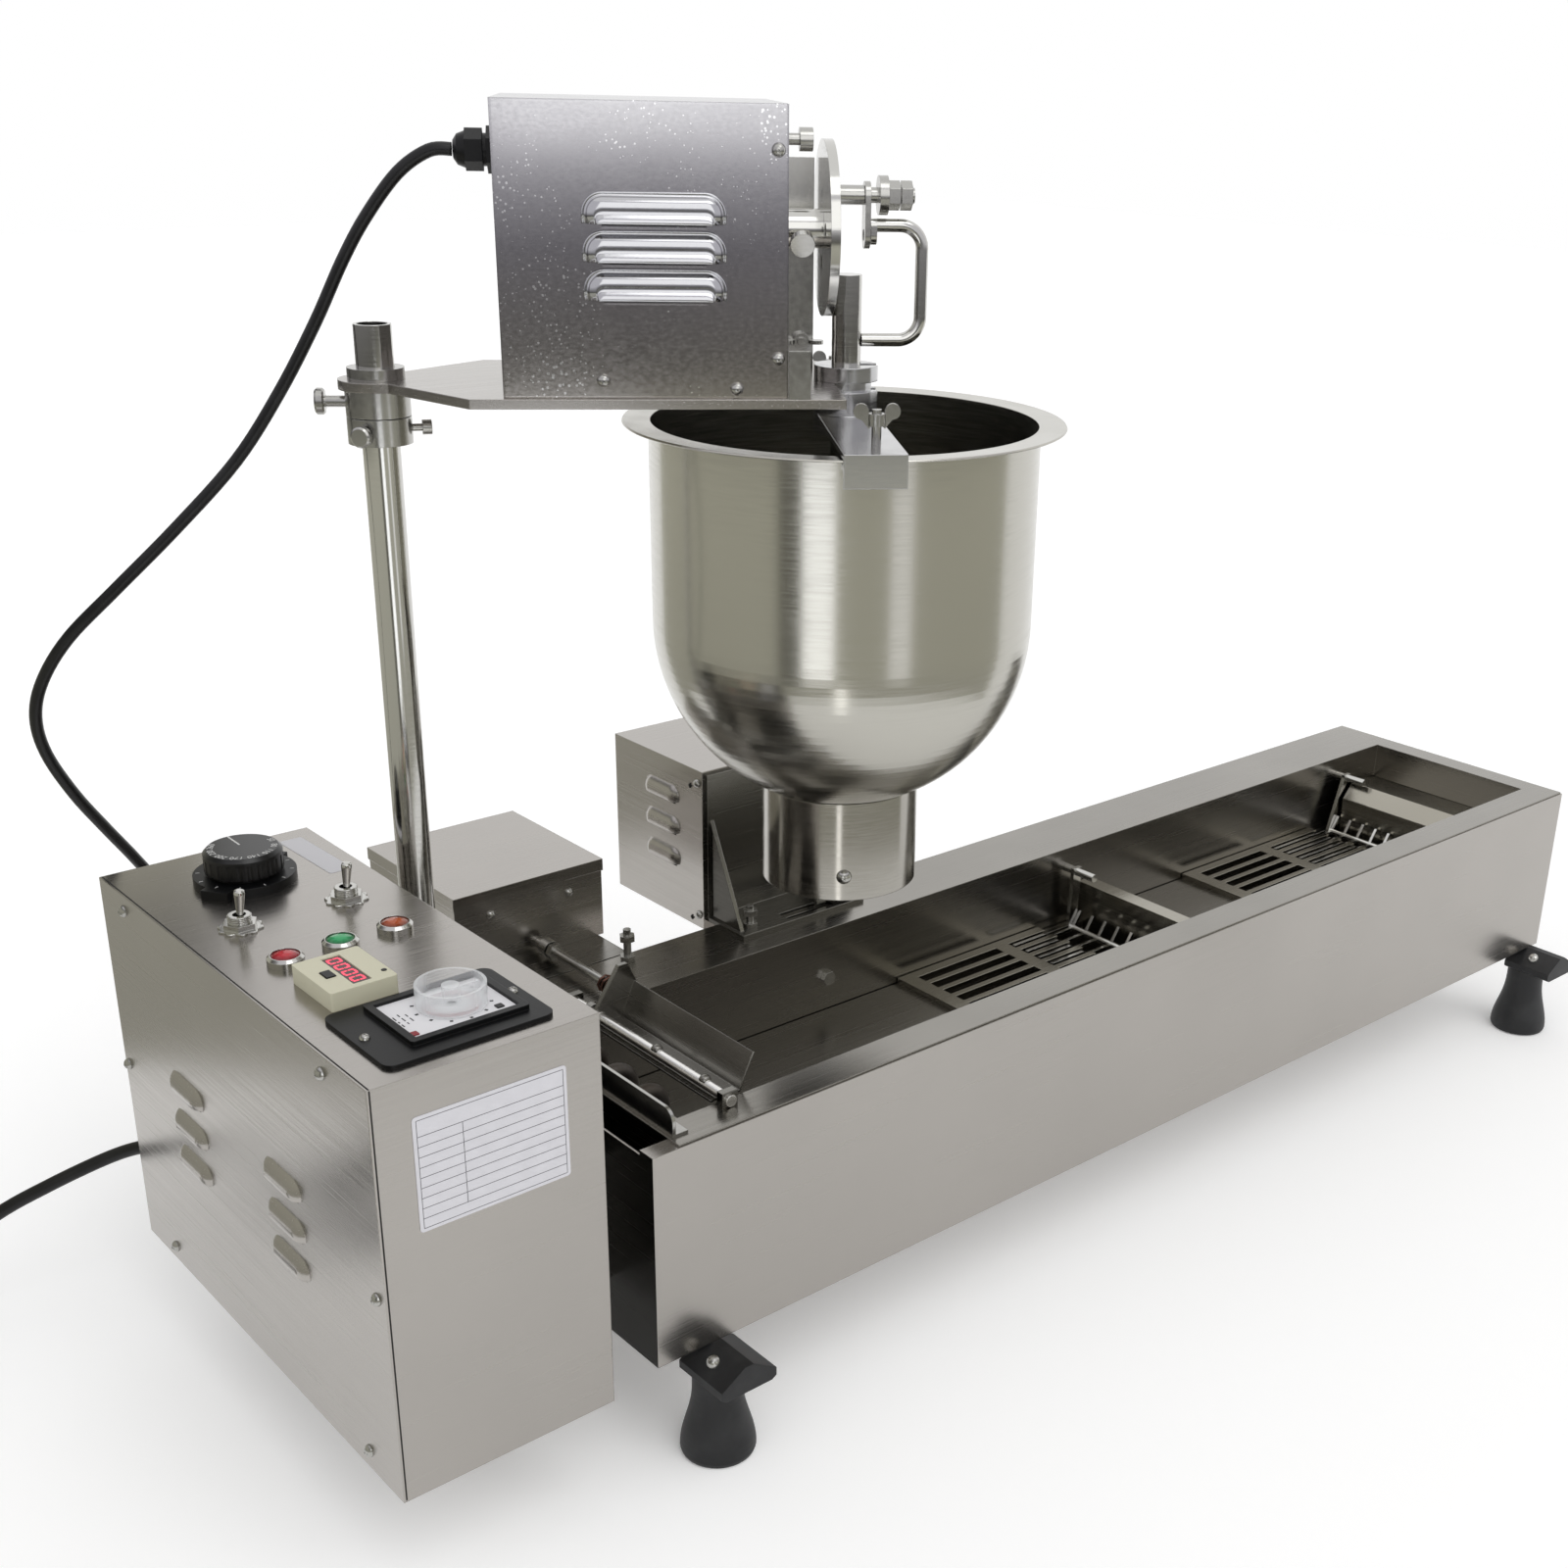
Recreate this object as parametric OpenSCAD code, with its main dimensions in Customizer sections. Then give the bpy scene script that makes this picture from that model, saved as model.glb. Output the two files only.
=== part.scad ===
/* [Control box] */
// Width of the control box, left to right
ctrl_w = 124.4; // [110:0.1:160]
// Depth of the control box, front to back
ctrl_d = 314.4; // [290:0.1:340]
// Height of the control box
ctrl_h = 232.5; // [200:0.5:260]
// Gap between the control box and the casing
box_gap = 34; // [28:0.5:45]
// Diameter of the thermostat knob
knob_d = 43; // [36:0.5:48]
// Height of the thermostat knob over its base
knob_h = 12.5; // [9:0.5:18]
// Length of a toggle lever over its bush
toggle_len = 15; // [10:0.5:20]
// Diameter of a lamp's bezel
bezel_d = 19; // [16:0.5:22]
// Diameter of the timer's clear dial
dial_d = 35; // [28:0.5:38]
// Height of the timer's dial
dial_h = 11; // [8:0.5:16]

/* [Casing and tank] */
// Length of the casing
casing_len = 891.5; // [850:0.5:950]
// Width of the casing
casing_w = 216; // [206:0.5:230]
// Height of the casing's walls
casing_h = 133; // [125:0.5:150]
// Sheet of casing and boxes
sheet = 1.5; // [1:0.1:2]
// Sheet of the oil tank
tank_sheet = 1.2; // [0.8:0.1:1.5]
// How far the casing's front stands behind the control box's front
front_step = 7.7; // [2:0.1:14]
// Width of the tank's front flange
front_flange = 25; // [20:0.5:30]
// Width of the tank's back flange
back_flange = 51.4; // [46:0.1:56]
// Depth of the oil tank
tank_depth = 118; // [105:0.5:122]
// How far the tray lies below the tank's top
tray_drop = 59; // [54:0.5:64]
// Thickness of the grids
grid_t = 4; // [3:0.5:5]
// Diameter of the heating tubes
heater_d = 8; // [6:0.5:9]

/* [Feet] */
// Height of the boxes' undersides over the table
leg_h = 73; // [65:1:85]
// Diameter of a foot at the table
foot_d = 44; // [38:1:50]
// Diameter of a foot's neck
foot_neck_d = 29; // [25:1:33]

/* [Forks] */
// Pitch of the fork tines
tine_pitch = 12.7; // [12:0.1:13]
// Thickness of a tine
tine_w = 2.4; // [1.8:0.1:3]
// Diameter of a fork's shaft
fork_shaft_d = 6; // [5:0.5:7]
// Angle through which a fork turns
fork_swing = 110; // [80:5:110]

/* [Column and arm] */
// Diameter of the column
col_d = 20; // [16:0.5:22]
// Distance from the column to the hopper's centre
arm_len = 250; // [240:0.5:262]
// Thickness of the arm plate
arm_t = 5; // [4:0.5:7]
// Width of the arm plate
arm_w = 140; // [120:1:160]
// Diameter of the column's collars
collar_d = 34; // [30:0.5:40]
// Height of one collar
collar_h = 14; // [12:0.5:18]

/* [Depositor head] */
// Length of the motor box
head_len = 143; // [130:0.5:150]
// Width of the motor box
head_w = 136; // [120:1:140]
// Height of the motor box
head_h = 140; // [130:0.5:160]
// Height of the crank shaft over the arm plate
shaft_h = 78; // [74:0.5:84]
// Crank radius, half the plunger's stroke
crank_r = 17; // [15:0.5:20]
// Diameter of the crank disc
disc_d = 89; // [76:0.5:92]
// Diameter of the plunger tube
plunger_d = 16; // [12:0.5:16]
// Diameter of the lift handle's rod
handle_d = 7; // [5:0.5:8]
// Reach of the lift handle from the plunger's centre
handle_reach = 40; // [36:0.5:48]

/* [Hopper] */
// Outer radius of the hopper
bowl_r = 108; // [100:0.5:112]
// Straight height of the hopper's wall
bowl_wall_h = 111; // [100:1:130]
// Wall of the hopper
bowl_t = 1.2; // [1:0.1:2]
// Width of the hopper's rim
rim_w = 14; // [10:0.5:18]
// Outer radius of the hopper's neck
neck_r = 46; // [40:0.5:50]
// Height of the hopper's neck
neck_h = 60; // [50:1:70]
// Height of the neck's mouth over the tank's top
neck_gap = 78; // [70:1:90]

/* [Drive boxes] */
// Length of the fork drive's box
mid_len = 107; // [95:0.5:115]
// Depth of the fork drive's box
mid_d = 99; // [90:0.5:110]
// Height of the fork drive's box
mid_h = 111; // [95:0.5:120]
// Length of the paddle drive's box
small_len = 107; // [95:0.5:115]
// Depth of the paddle drive's box
small_d = 108; // [90:0.5:115]
// Height of the paddle drive's box
small_h = 53; // [46:0.5:60]

/* [Cords] */
// Diameter of the power cord
cord_d = 8.4; // [7:0.1:9]
// Diameter of the motor's cable
cable_d = 6.8; // [5.5:0.1:7.5]

/* [Hidden] */

steel = "#b9b8b2";
bright = "#d9d9d6";
alloy = "#c6c7ca";
dark_steel = "#6f6e6a";
black = "#1d1e20";
run_fit = 0.05;
seat = 0.3;
fine = 48;

// Casing and tank, measured from the control box's front left corner
casing_x = ctrl_w + box_gap;
casing_y = front_step;
casing_right = casing_x + casing_len;
casing_back = casing_y + casing_w;
casing_top = leg_h + casing_h;
flange_top = casing_top + tank_sheet;
left_flange = 33.8;
right_flange = 19.5;
tank_left = casing_x + left_flange;
tank_right = casing_right - right_flange;
tank_front = casing_y + front_flange;
tank_back = casing_back - back_flange;
tank_mid = (tank_front + tank_back) / 2;
floor_z = flange_top - tank_depth;
tray_z = flange_top - tray_drop;
ctrl_top = leg_h + ctrl_h;

// Trays, grids and forks along the tank
rail_w = 7;
wall_play = 0.8;
feed_x = casing_x + 90;
grid_x = [casing_x + 319.6, casing_x + 621.6];
grid_end = [casing_x + 458, casing_x + 785];
pivot_x = [casing_x + 486.6, casing_x + 816.6];
comb_x = [casing_x + 484.6, casing_x + 801.6];
rib_at = 88;
rib_w = 12;
pivot_z = flange_top - 15;
comb_drop = 0.4;
tine_count = floor((tank_back - tank_front - 2 * rail_w - tine_w) / tine_pitch) + 1;
fork_arm_t = 3;
fork_arm_y = tank_back - wall_play - rail_w - fork_arm_t - 0.4;
lever_r = 14;
lever_t = 5;
bar_y = tank_back + 14;
bar_t = 3;
pin_d = 5;
bar_travel = 2 * lever_r * sin(fork_swing / 2);
pin_slack = 2.4;
slot_x = casing_x + 243.5;
slot_y = casing_back - 22.7;
slot_len = bar_travel + 14;
tab_w = 8;

// Column, arm and hopper
col_x = casing_x - 3.4;
col_y = casing_back + 16.3;
col_r = col_d / 2;
arm_turn = -asin((col_y - tank_mid) / arm_len);
neck_z = flange_top + neck_gap;
bowl_floor_z = neck_z + neck_h;
bowl_mid_z = bowl_floor_z + sqrt(bowl_r * bowl_r - neck_r * neck_r);
rim_z = bowl_mid_z + bowl_wall_h;
rim_r = bowl_r + rim_w;
arm_z = rim_z + 17;
arm_top = arm_z + arm_t;
hop_x = col_x + arm_len * cos(arm_turn);
collar_z = arm_z - collar_h;
stop_z = collar_z - collar_h - 0.5;
col_top = arm_top + 28;
plate_end = arm_len - 8;
groove_r = 14;
guide_r = 17.5;

// Depositor head, along the arm from the column's centre
head_right = arm_len - 38;
head_left = head_right - head_len;
shaft_z = arm_top + shaft_h;
disc_s = arm_len - 14;
disc_t = 5;
hub_r = 10;
bolt_d = 8;
bush_r = 5;
bush_end = arm_len + 8;
link_s = bush_end + seat;
link_t = 3;
link_len = 20;
lug_s = link_s + link_t + 0.5;
lug_t = 3.2;
roller_s = lug_s + lug_t + 0.8;
bolt_end = arm_len + handle_reach - handle_d / 2 - 1.5;
link_z = shaft_z + crank_r - link_len;
handle_low_z = arm_top + 21;
handle_top_z = link_z + 5;
handle_bend = 12;
plunger_top = shaft_z - crank_r - bush_r - 1;
die_r = 26;
disc_play = 0.3;
bracket_t = 28;

// Paddle and its drive
paddle_x = casing_x + 63.6;
paddle_d = 7;
paddle_z = flange_top + paddle_d / 2 + 0.4;
cam_x = paddle_x + 24;
cam_z = paddle_z + 4;
cam_rod_d = 6;
cam_y = tank_back - 14.2;
cam_r = 8;
cam_throw = 3;
lever_half = 2.2;

// Boxes behind the casing
mid_x0 = casing_x + 199.6;
mid_y0 = casing_back + 9.3;
mid_z0 = flange_top - 6;
small_x0 = casing_x + 29.6;
small_y0 = casing_back + 34.3;
small_z0 = flange_top;

// The whole object's middle, under which its origin lies
front_y = tank_mid - rim_r;
back_y = small_y0 + small_d;
mid_x = casing_right / 2;
mid_y = (front_y + back_y) / 2;

module place() {
    translate([-mid_x, -mid_y, 0]) children();
}

module on_arm() {
    place() translate([col_x, col_y, 0]) rotate([0, 0, arm_turn]) children();
}

module block(lo, hi) {
    translate(lo) cube(hi - lo);
}

module rod_x(p, d, l) {
    translate(p) rotate([0, 90, 0]) cylinder(d = d, h = l, $fn = fine);
}

module rod_y(p, d, l) {
    translate(p) rotate([-90, 0, 0]) cylinder(d = d, h = l, $fn = fine);
}

module rod_z(p, d, l) {
    translate(p) cylinder(d = d, h = l, $fn = fine);
}

// Extrudes an outline drawn in x and z along y
module plate_xz(y, t) {
    translate([0, y + t, 0]) rotate([90, 0, 0]) linear_extrude(t) children();
}

// Extrudes an outline drawn in y and z along x
module plate_yz(x, t) {
    translate([x, 0, 0]) rotate([90, 0, 90]) linear_extrude(t) children();
}

module round_rect(size, r) {
    translate([r, 0]) square([size[0] - 2 * r, size[1]]);
    translate([0, r]) square([size[0], size[1] - 2 * r]);
    for (x = [r, size[0] - r], y = [r, size[1] - r])
        translate([x, y]) circle(r, $fn = fine);
}

// A strip of even thickness along a bent line
function unit(v) = v / norm(v);
function left_of(v) = [-v[1], v[0]];
function bend_normal(p, i) =
    i == 0 ? left_of(unit(p[1] - p[0])) :
    i == len(p) - 1 ? left_of(unit(p[i] - p[i - 1])) :
    let (a = left_of(unit(p[i] - p[i - 1])), b = left_of(unit(p[i + 1] - p[i])))
        (a + b) / (1 + a * b);
function strip(p, t) = concat(
    [for (i = [0 : len(p) - 1]) p[i] + bend_normal(p, i) * t / 2],
    [for (i = [len(p) - 1 : -1 : 0]) p[i] - bend_normal(p, i) * t / 2]
);

// A pressed louver: long round hood over a slot, open along its lower edge
louver_r = 10;
louver_sink = 6;
louver_skin = 1;
louver_open = 3;

module capsule(l, r) {
    rotate([0, 90, 0]) cylinder(r = r, h = l, center = true, $fn = fine);
    for (x = [-l / 2, l / 2]) translate([x, 0, 0]) sphere(r, $fn = fine);
}

module louver_hood(l) {
    difference() {
        translate([0, 0, -louver_sink]) capsule(l - 2 * louver_open * 4, louver_r);
        translate([0, 0, -louver_sink]) capsule(l - 2 * louver_open * 4, louver_r - louver_skin);
        translate([-l, -l, -3 * louver_r - 0.2]) cube([2 * l, 2 * l, 3 * louver_r]);
        translate([-l, -2 * louver_r - louver_open, -louver_r]) cube([2 * l, 2 * louver_r, 2 * louver_r]);
    }
}

module louver_slot(l, t) {
    translate([-l / 2 + 8, -5, -2 * t]) cube([l - 16, 8, 3 * t]);
}

module pan_head(d) {
    rise = d * 0.42;
    cap_r = (d * d / 4 + rise * rise) / (2 * rise);
    intersection() {
        translate([0, 0, rise - cap_r]) sphere(cap_r, $fn = fine);
        cylinder(d = d, h = rise + 1, $fn = fine);
    }
}

module hex_head(af, h) {
    cylinder(d = af / cos(30), h = h, $fn = 6);
}

// Points of a smooth route through chosen points
function between(a, b, c, d, t) =
    0.5 * (2 * b + (c - a) * t + (2 * a - 5 * b + 4 * c - d) * t * t + (3 * b - a - 3 * c + d) * t * t * t);
function smooth(p, n) = concat(
    [for (i = [0 : len(p) - 2], k = [0 : n - 1])
        between(p[max(i - 1, 0)], p[i], p[i + 1], p[min(i + 2, len(p) - 1)], k / n)],
    [p[len(p) - 1]]
);
function heading(p, i) = unit(p[min(i + 1, len(p) - 1)] - p[max(i - 1, 0)]);
function squared(v, t) = unit(v - (v * t) * t);
function carried(p, i, v) = i == len(p) ? [] :
    let (n = squared(v, heading(p, i))) concat([n], carried(p, i + 1, n));

// A tube swept along points, with flat ends square to the route
module tube(p, d, sides, first = [0, 0, 1]) {
    n = carried(p, 0, first);
    rings = [for (i = [0 : len(p) - 1]) let (t = heading(p, i), b = cross(t, n[i]))
        for (k = [0 : sides - 1]) p[i] + d / 2 * (cos(360 * k / sides) * n[i] + sin(360 * k / sides) * b)];
    last = len(p) - 1;
    skin = [for (i = [0 : last - 1], k = [0 : sides - 1])
        let (a = i * sides + k, b = i * sides + (k + 1) % sides)
            each [[a, a + sides, b], [b, a + sides, b + sides]]];
    ends = [[for (k = [0 : sides - 1]) k], [for (k = [sides - 1 : -1 : 0]) last * sides + k]];
    polyhedron(rings, concat(skin, ends), convexity = 8);
}

module casing() {
    lip = 12;
    color(steel) place() difference() {
        block([casing_x, casing_y, leg_h], [casing_right, casing_back, casing_top]);
        block([casing_x + sheet, casing_y + sheet, leg_h + sheet],
            [casing_right - sheet, casing_back - sheet, casing_top - sheet]);
        block([casing_x + sheet, casing_y + lip, leg_h + sheet],
            [casing_right - lip, casing_back - lip, casing_top + 1]);
        block([casing_x - 1, casing_y + lip, casing_top - 3],
            [casing_x + 2 * sheet, casing_back - lip, casing_top + 1]);
        block([slot_x - 2, slot_y - 4, casing_top - 2 * sheet],
            [slot_x + slot_len + 2, slot_y + 4, casing_top + 1]);
    }
}

module oil_tank() {
    rest_x = casing_x + 17.6;
    edge = 1;
    color(steel) place() difference() {
        union() {
            block([rest_x, casing_y + edge, casing_top], [casing_right - edge, casing_back - edge, flange_top]);
            block([tank_left - tank_sheet, tank_front - tank_sheet, floor_z - tank_sheet],
                [tank_right + tank_sheet, tank_back + tank_sheet, flange_top]);
        }
        block([tank_left, tank_front, floor_z], [tank_right, tank_back, flange_top + 1]);
        translate([slot_x, slot_y - 2.4, casing_top - 1]) cube([slot_len, 4.8, 4]);
        for (x = pivot_x)
            rod_y([x, tank_back - 1, pivot_z], fork_shaft_d + 2 * run_fit, 4);
    }
}

module frying_tray() {
    y0 = tank_front + wall_play;
    y1 = tank_back - wall_play;
    x1 = tank_right - 4;
    plates = [[feed_x, grid_x[0]], [grid_end[0] + 51, grid_x[1]]];
    window = 40;
    color(dark_steel) place() difference() {
        union() {
            block([feed_x, y0, tray_z - tank_sheet], [x1, y0 + rail_w, tray_z]);
            block([feed_x, y1 - rail_w, tray_z - tank_sheet], [x1, y1, tray_z]);
            block([feed_x, y0, floor_z], [x1, y0 + tank_sheet, tray_z]);
            block([feed_x, y1 - tank_sheet, floor_z], [x1, y1, tray_z]);
            for (p = plates)
                block([p[0], y0, tray_z - tank_sheet], [p[1], y1, tray_z]);
        }
        for (x = [feed_x + 20 : window + 25 : x1 - window - 10])
            block([x, y0 - 1, floor_z + 12], [x + window, y1 + 1, tray_z - 14]);
    }
}

function tine_y(i) = tank_mid + tine_pitch * (i - (tine_count - 1) / 2);

// One frying grid: long slots, a cross rib, then open bars between which the fork's tines lie
module grid(i) {
    slot_w = 8;
    rim = 12;
    x0 = grid_x[i];
    x1 = grid_end[i];
    rib_x = x0 + rib_at;
    y0 = tank_front + wall_play;
    y1 = tank_back - wall_play;
    color(steel) place() difference() {
        block([x0, y0, tray_z], [x1, y1, tray_z + grid_t]);
        for (k = [0 : tine_count - 1]) {
            block([x0 + rim, tine_y(k) - slot_w / 2, tray_z - 1],
                [rib_x, tine_y(k) + slot_w / 2, tray_z + grid_t + 1]);
            block([rib_x + rib_w, tine_y(k) - slot_w / 2, tray_z - 1],
                [x1 + 1, tine_y(k) + slot_w / 2, tray_z + grid_t + 1]);
        }
    }
}

module grid_1() {
    grid(0);
}

module grid_2() {
    grid(1);
}

// Outline of a cross wall: narrow between the rails, full width over them
module cross_wall(top, y_end) {
    y0 = tank_front + wall_play;
    y1 = tank_back - wall_play;
    low = heater_z + heater_d / 2 + 6;
    translate([y0 + rail_w + 0.6, low])
        square([min(y1 - rail_w - 0.6, y_end) - y0 - rail_w - 0.6, top - low]);
    translate([y0, tray_z]) square([y_end - y0, top - tray_z]);
}

divider_top = flange_top - 29;
divider_x = pivot_x[0] + 13;
cross_back = fork_arm_y - 2;

module divider() {
    flange_w = 13;
    y1 = tank_back - wall_play;
    color(steel) place() {
        plate_yz(divider_x, tank_sheet) cross_wall(divider_top, y1);
        block([divider_x, tank_front + wall_play, divider_top - tank_sheet],
            [divider_x + flange_w, y1, divider_top]);
    }
}

module end_chute() {
    x0 = pivot_x[1] - 6;
    low = divider_top - 2;
    ridge = [x0 + 11, low + 11];
    run_out = [tank_right - 1.2, divider_top];
    color(steel) place() {
        plate_yz(x0, tank_sheet) cross_wall(low, cross_back);
        difference() {
            plate_xz(tank_front + wall_play, tank_back - tank_front - 2 * wall_play)
                polygon(strip([[x0 + tank_sheet / 2, low - 1], ridge, run_out, run_out - [0, 12]], tank_sheet));
            block([x0 - 1, cross_back, low - 10], [x0 + 21, tank_back, flange_top]);
        }
    }
}

heater_z = floor_z + 14;
heater_y = [15, 45];

// Two nested hairpin tubes that rise at the tank's left end and reach over its edge
module heater_element() {
    rise_x = tank_left + 8;
    bend = 12;
    far_x = tank_right - 30;
    top_z = flange_top + 7;
    out_x = casing_x + 21.5;
    color("#5b524b") place() for (y = heater_y) {
        for (side = [-y, y]) {
            rod_x([rise_x + bend, tank_mid + side, heater_z], heater_d, far_x - y - rise_x - bend);
            translate([rise_x + bend, tank_mid + side, heater_z + bend]) rotate([90, 0, 0])
                rotate([0, 0, 180]) rotate_extrude(angle = 90, $fn = fine)
                    translate([bend, 0]) circle(d = heater_d, $fn = fine);
            rod_z([rise_x, tank_mid + side, heater_z + bend], heater_d, top_z - heater_z - 2 * bend);
            translate([rise_x - bend, tank_mid + side, top_z - bend]) rotate([90, 0, 0])
                rotate_extrude(angle = 90, $fn = fine) translate([bend, 0]) circle(d = heater_d, $fn = fine);
            rod_x([out_x, tank_mid + side, top_z], heater_d, rise_x - bend - out_x);
        }
        translate([far_x - y, tank_mid, heater_z]) rotate([0, 0, -90])
            rotate_extrude(angle = 180, $fn = fine) translate([y, 0]) circle(d = heater_d, $fn = fine);
    }
}

// Upright plate that hooks the heater over the tank's end, with the wiring duct behind it
module heater_hanger() {
    x0 = casing_x + 19.5;
    top = flange_top + 16;
    y0 = casing_y + 9;
    y1 = tank_back + 12;
    corner = 8;
    duct_y = tank_mid + 10;
    color(dark_steel) place() {
        plate_yz(x0, 2) union() {
            translate([y0, flange_top]) square([y1 - y0, top - corner - flange_top]);
            translate([y0 + corner, flange_top]) square([y1 - y0 - corner, top - flange_top]);
            translate([y0 + corner, top - corner]) circle(corner, $fn = fine);
        }
        block([x0, y0, flange_top], [x0 + 10, y1, flange_top + sheet]);
        difference() {
            block([ctrl_w, duct_y, flange_top], [x0, duct_y + 70, top - 1]);
            block([ctrl_w - 1, duct_y + sheet, flange_top + sheet], [x0 + 1, duct_y + 70 - sheet, top - 1 - sheet]);
        }
    }
}

// Folded channel that carries the control box on the casing's left wall
module bridge_bracket() {
    y0 = casing_y + 52;
    y1 = casing_back - 24;
    z0 = leg_h + 30;
    z1 = leg_h + 110;
    color(dark_steel) place() difference() {
        block([ctrl_w, y0, z0], [casing_x, y1, z1]);
        block([ctrl_w + 3, y0 + 3, z0 - 1], [casing_x - 3, y1 - 3, z1 - 3]);
    }
}

foot_in_x = 40;
foot_right_in = 10;
foot_in_y = 0;
foot_roof = 32;
foot_spots = [
    [casing_x + foot_in_x, casing_y + foot_in_y, 0],
    [casing_right - foot_right_in, casing_y + foot_in_y, 0],
    [casing_x + foot_in_x, casing_back - foot_in_y, 180],
    [casing_right - foot_right_in, casing_back - foot_in_y, 180]
];

// A moulded foot: hollow flared cone under a roof-shaped saddle that reaches out past the wall
module foot() {
    neck_z = leg_h * 0.68;
    base_r = foot_d / 2;
    neck = foot_neck_d / 2;
    flat = 3;
    half = neck + 4.5;
    eave = leg_h - (half - flat) * tan(foot_roof);
    steps = 12;
    flare = [for (i = [0 : steps]) let (a = 90 * i / steps)
        [neck + (base_r - neck) * pow(cos(a), 3), 3 + (neck_z - 3) * i / steps]];
    difference() {
        union() {
            rotate_extrude($fn = 64)
                polygon(concat([[0, 0], [base_r - 2.5, 0], [base_r - 0.7, 0.8]], flare, [[neck, leg_h - 12], [0, leg_h - 12]]));
            plate_xz(-30, 40) polygon([[-half + 3, eave - 7], [-half, eave - 5], [-half, eave], [-flat, leg_h],
                [flat, leg_h], [half, eave], [half, eave - 5], [half - 3, eave - 7]]);
        }
        translate([0, 0, -1]) cylinder(r = neck - 5, h = 24, $fn = fine);
    }
}

module rubber_feet() {
    color(black) place() for (f = foot_spots)
        translate([f[0], f[1], 0]) rotate([0, 0, f[2]]) foot();
}

cover_screw_spots = [[46, 222], [282, 223], [9, 116], [310, 116], [34, 11], [274, 9]];
mid_screw_spots = [[3.5, 109], [4, 1]];

// Pan heads and hex heads that hold the base's sheets and feet
module base_screws() {
    foot_bolt_x = 10;
    color(bright) place() {
        for (p = cover_screw_spots)
            translate([0, min(p[0], ctrl_d - 4), leg_h + p[1]]) rotate([0, -90, 0]) pan_head(7);
        for (x = [timer_lo[0] + 6, timer_lo[0] + timer_size[0] - 5])
            translate([x, timer_lo[1] + timer_size[1] / 2, ctrl_top + timer_plate_h]) pan_head(5.6);
        for (z = [9, mid_h - 9])
            translate([mid_x0, mid_y0 + 5, mid_z0 + z]) rotate([0, -90, 0]) pan_head(6);
        for (x = [25, small_len - 25])
            translate([small_x0 + x, small_y0, small_z0 + small_h * 0.68]) rotate([90, 0, 0]) pan_head(6);
        for (f = foot_spots)
            translate([f[0], f[1], 0]) rotate([0, 0, f[2]])
                translate([-foot_bolt_x, -10, leg_h - (foot_bolt_x - 3) * tan(foot_roof)]) rotate([0, -foot_roof, 0]) pan_head(9);
        translate([mid_x0 + 14, mid_y0 - 32, flange_top + 3]) {
            hex_head(9, 4);
            cylinder(d = 5, h = 16, $fn = fine);
            translate([0, 0, 9]) hex_head(9, 4);
        }
        translate([casing_x + 125.5, casing_back - 10, flange_top]) {
            hex_head(9, 4);
            cylinder(d = 5, h = 22, $fn = fine);
            translate([0, 0, 14]) hex_head(9, 4);
        }
        translate([casing_x + 255.5, tank_back, flange_top - 35]) rotate([90, 0, 0]) hex_head(9, 4);
    }
}

knob_spot = [62.5, ctrl_d - 52.4];
toggle_spots = [[32, ctrl_d - 113.4], [93, ctrl_d - 113.4]];
lamp_spots = [[31.5, 146], [62.3, 147], [94.3, 148.5]];
toggle_d = 12;
lamp_hole_d = bezel_d - 3;
counter_lo = [24, 80];
counter_size = [36, 43, 10];
timer_lo = [16, 10];
timer_size = [91, 66];
dial_spot = [71, 48];

module control_box() {
    lip = 12;
    color(steel) place() difference() {
        block([sheet, 0, leg_h], [ctrl_w, ctrl_d, ctrl_top]);
        block([2 * sheet, sheet, leg_h + sheet], [ctrl_w - sheet, ctrl_d - sheet, ctrl_top - sheet]);
        block([0, lip, leg_h + lip], [3 * sheet, ctrl_d - lip, ctrl_top - lip]);
        rod_z([knob_spot[0], knob_spot[1], ctrl_top - 3], 10, 6);
        for (p = toggle_spots)
            rod_z([p[0], p[1], ctrl_top - 3], toggle_d + 2 * run_fit, 6);
        for (p = lamp_spots)
            rod_z([p[0], p[1], ctrl_top - 3], lamp_hole_d + 2 * run_fit, 6);
    }
}

module control_side_cover() {
    rows = [ctrl_h - 97.5, ctrl_h - 121.5, ctrl_h - 144.5];
    louver_l = 49;
    columns = [105, 222];
    color(steel) place() {
        difference() {
            block([0, 0, leg_h], [sheet, ctrl_d, ctrl_top]);
            for (y = columns, z = rows)
                translate([0, y, leg_h + z]) rotate([90, 0, -90]) louver_slot(louver_l, sheet);
        }
        for (y = columns, z = rows)
            translate([0, y, leg_h + z]) rotate([90, 0, -90]) louver_hood(louver_l);
    }
}

base_plate_h = 5;

module thermostat_base() {
    ear = 27;
    color(black) place() translate([knob_spot[0], knob_spot[1], ctrl_top]) difference() {
        union() {
            cylinder(d = knob_d + 13, h = base_plate_h, $fn = 96);
            cylinder(d = knob_d - 6, h = base_plate_h + 1.5, $fn = 96);
            for (a = [35, 215]) rotate([0, 0, a])
                translate([0, -8, 0]) cube([ear + 5, 16, base_plate_h]);
        }
        translate([0, 0, -1]) cylinder(d = 6 + 2 * run_fit, h = 20, $fn = fine);
    }
}

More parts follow.
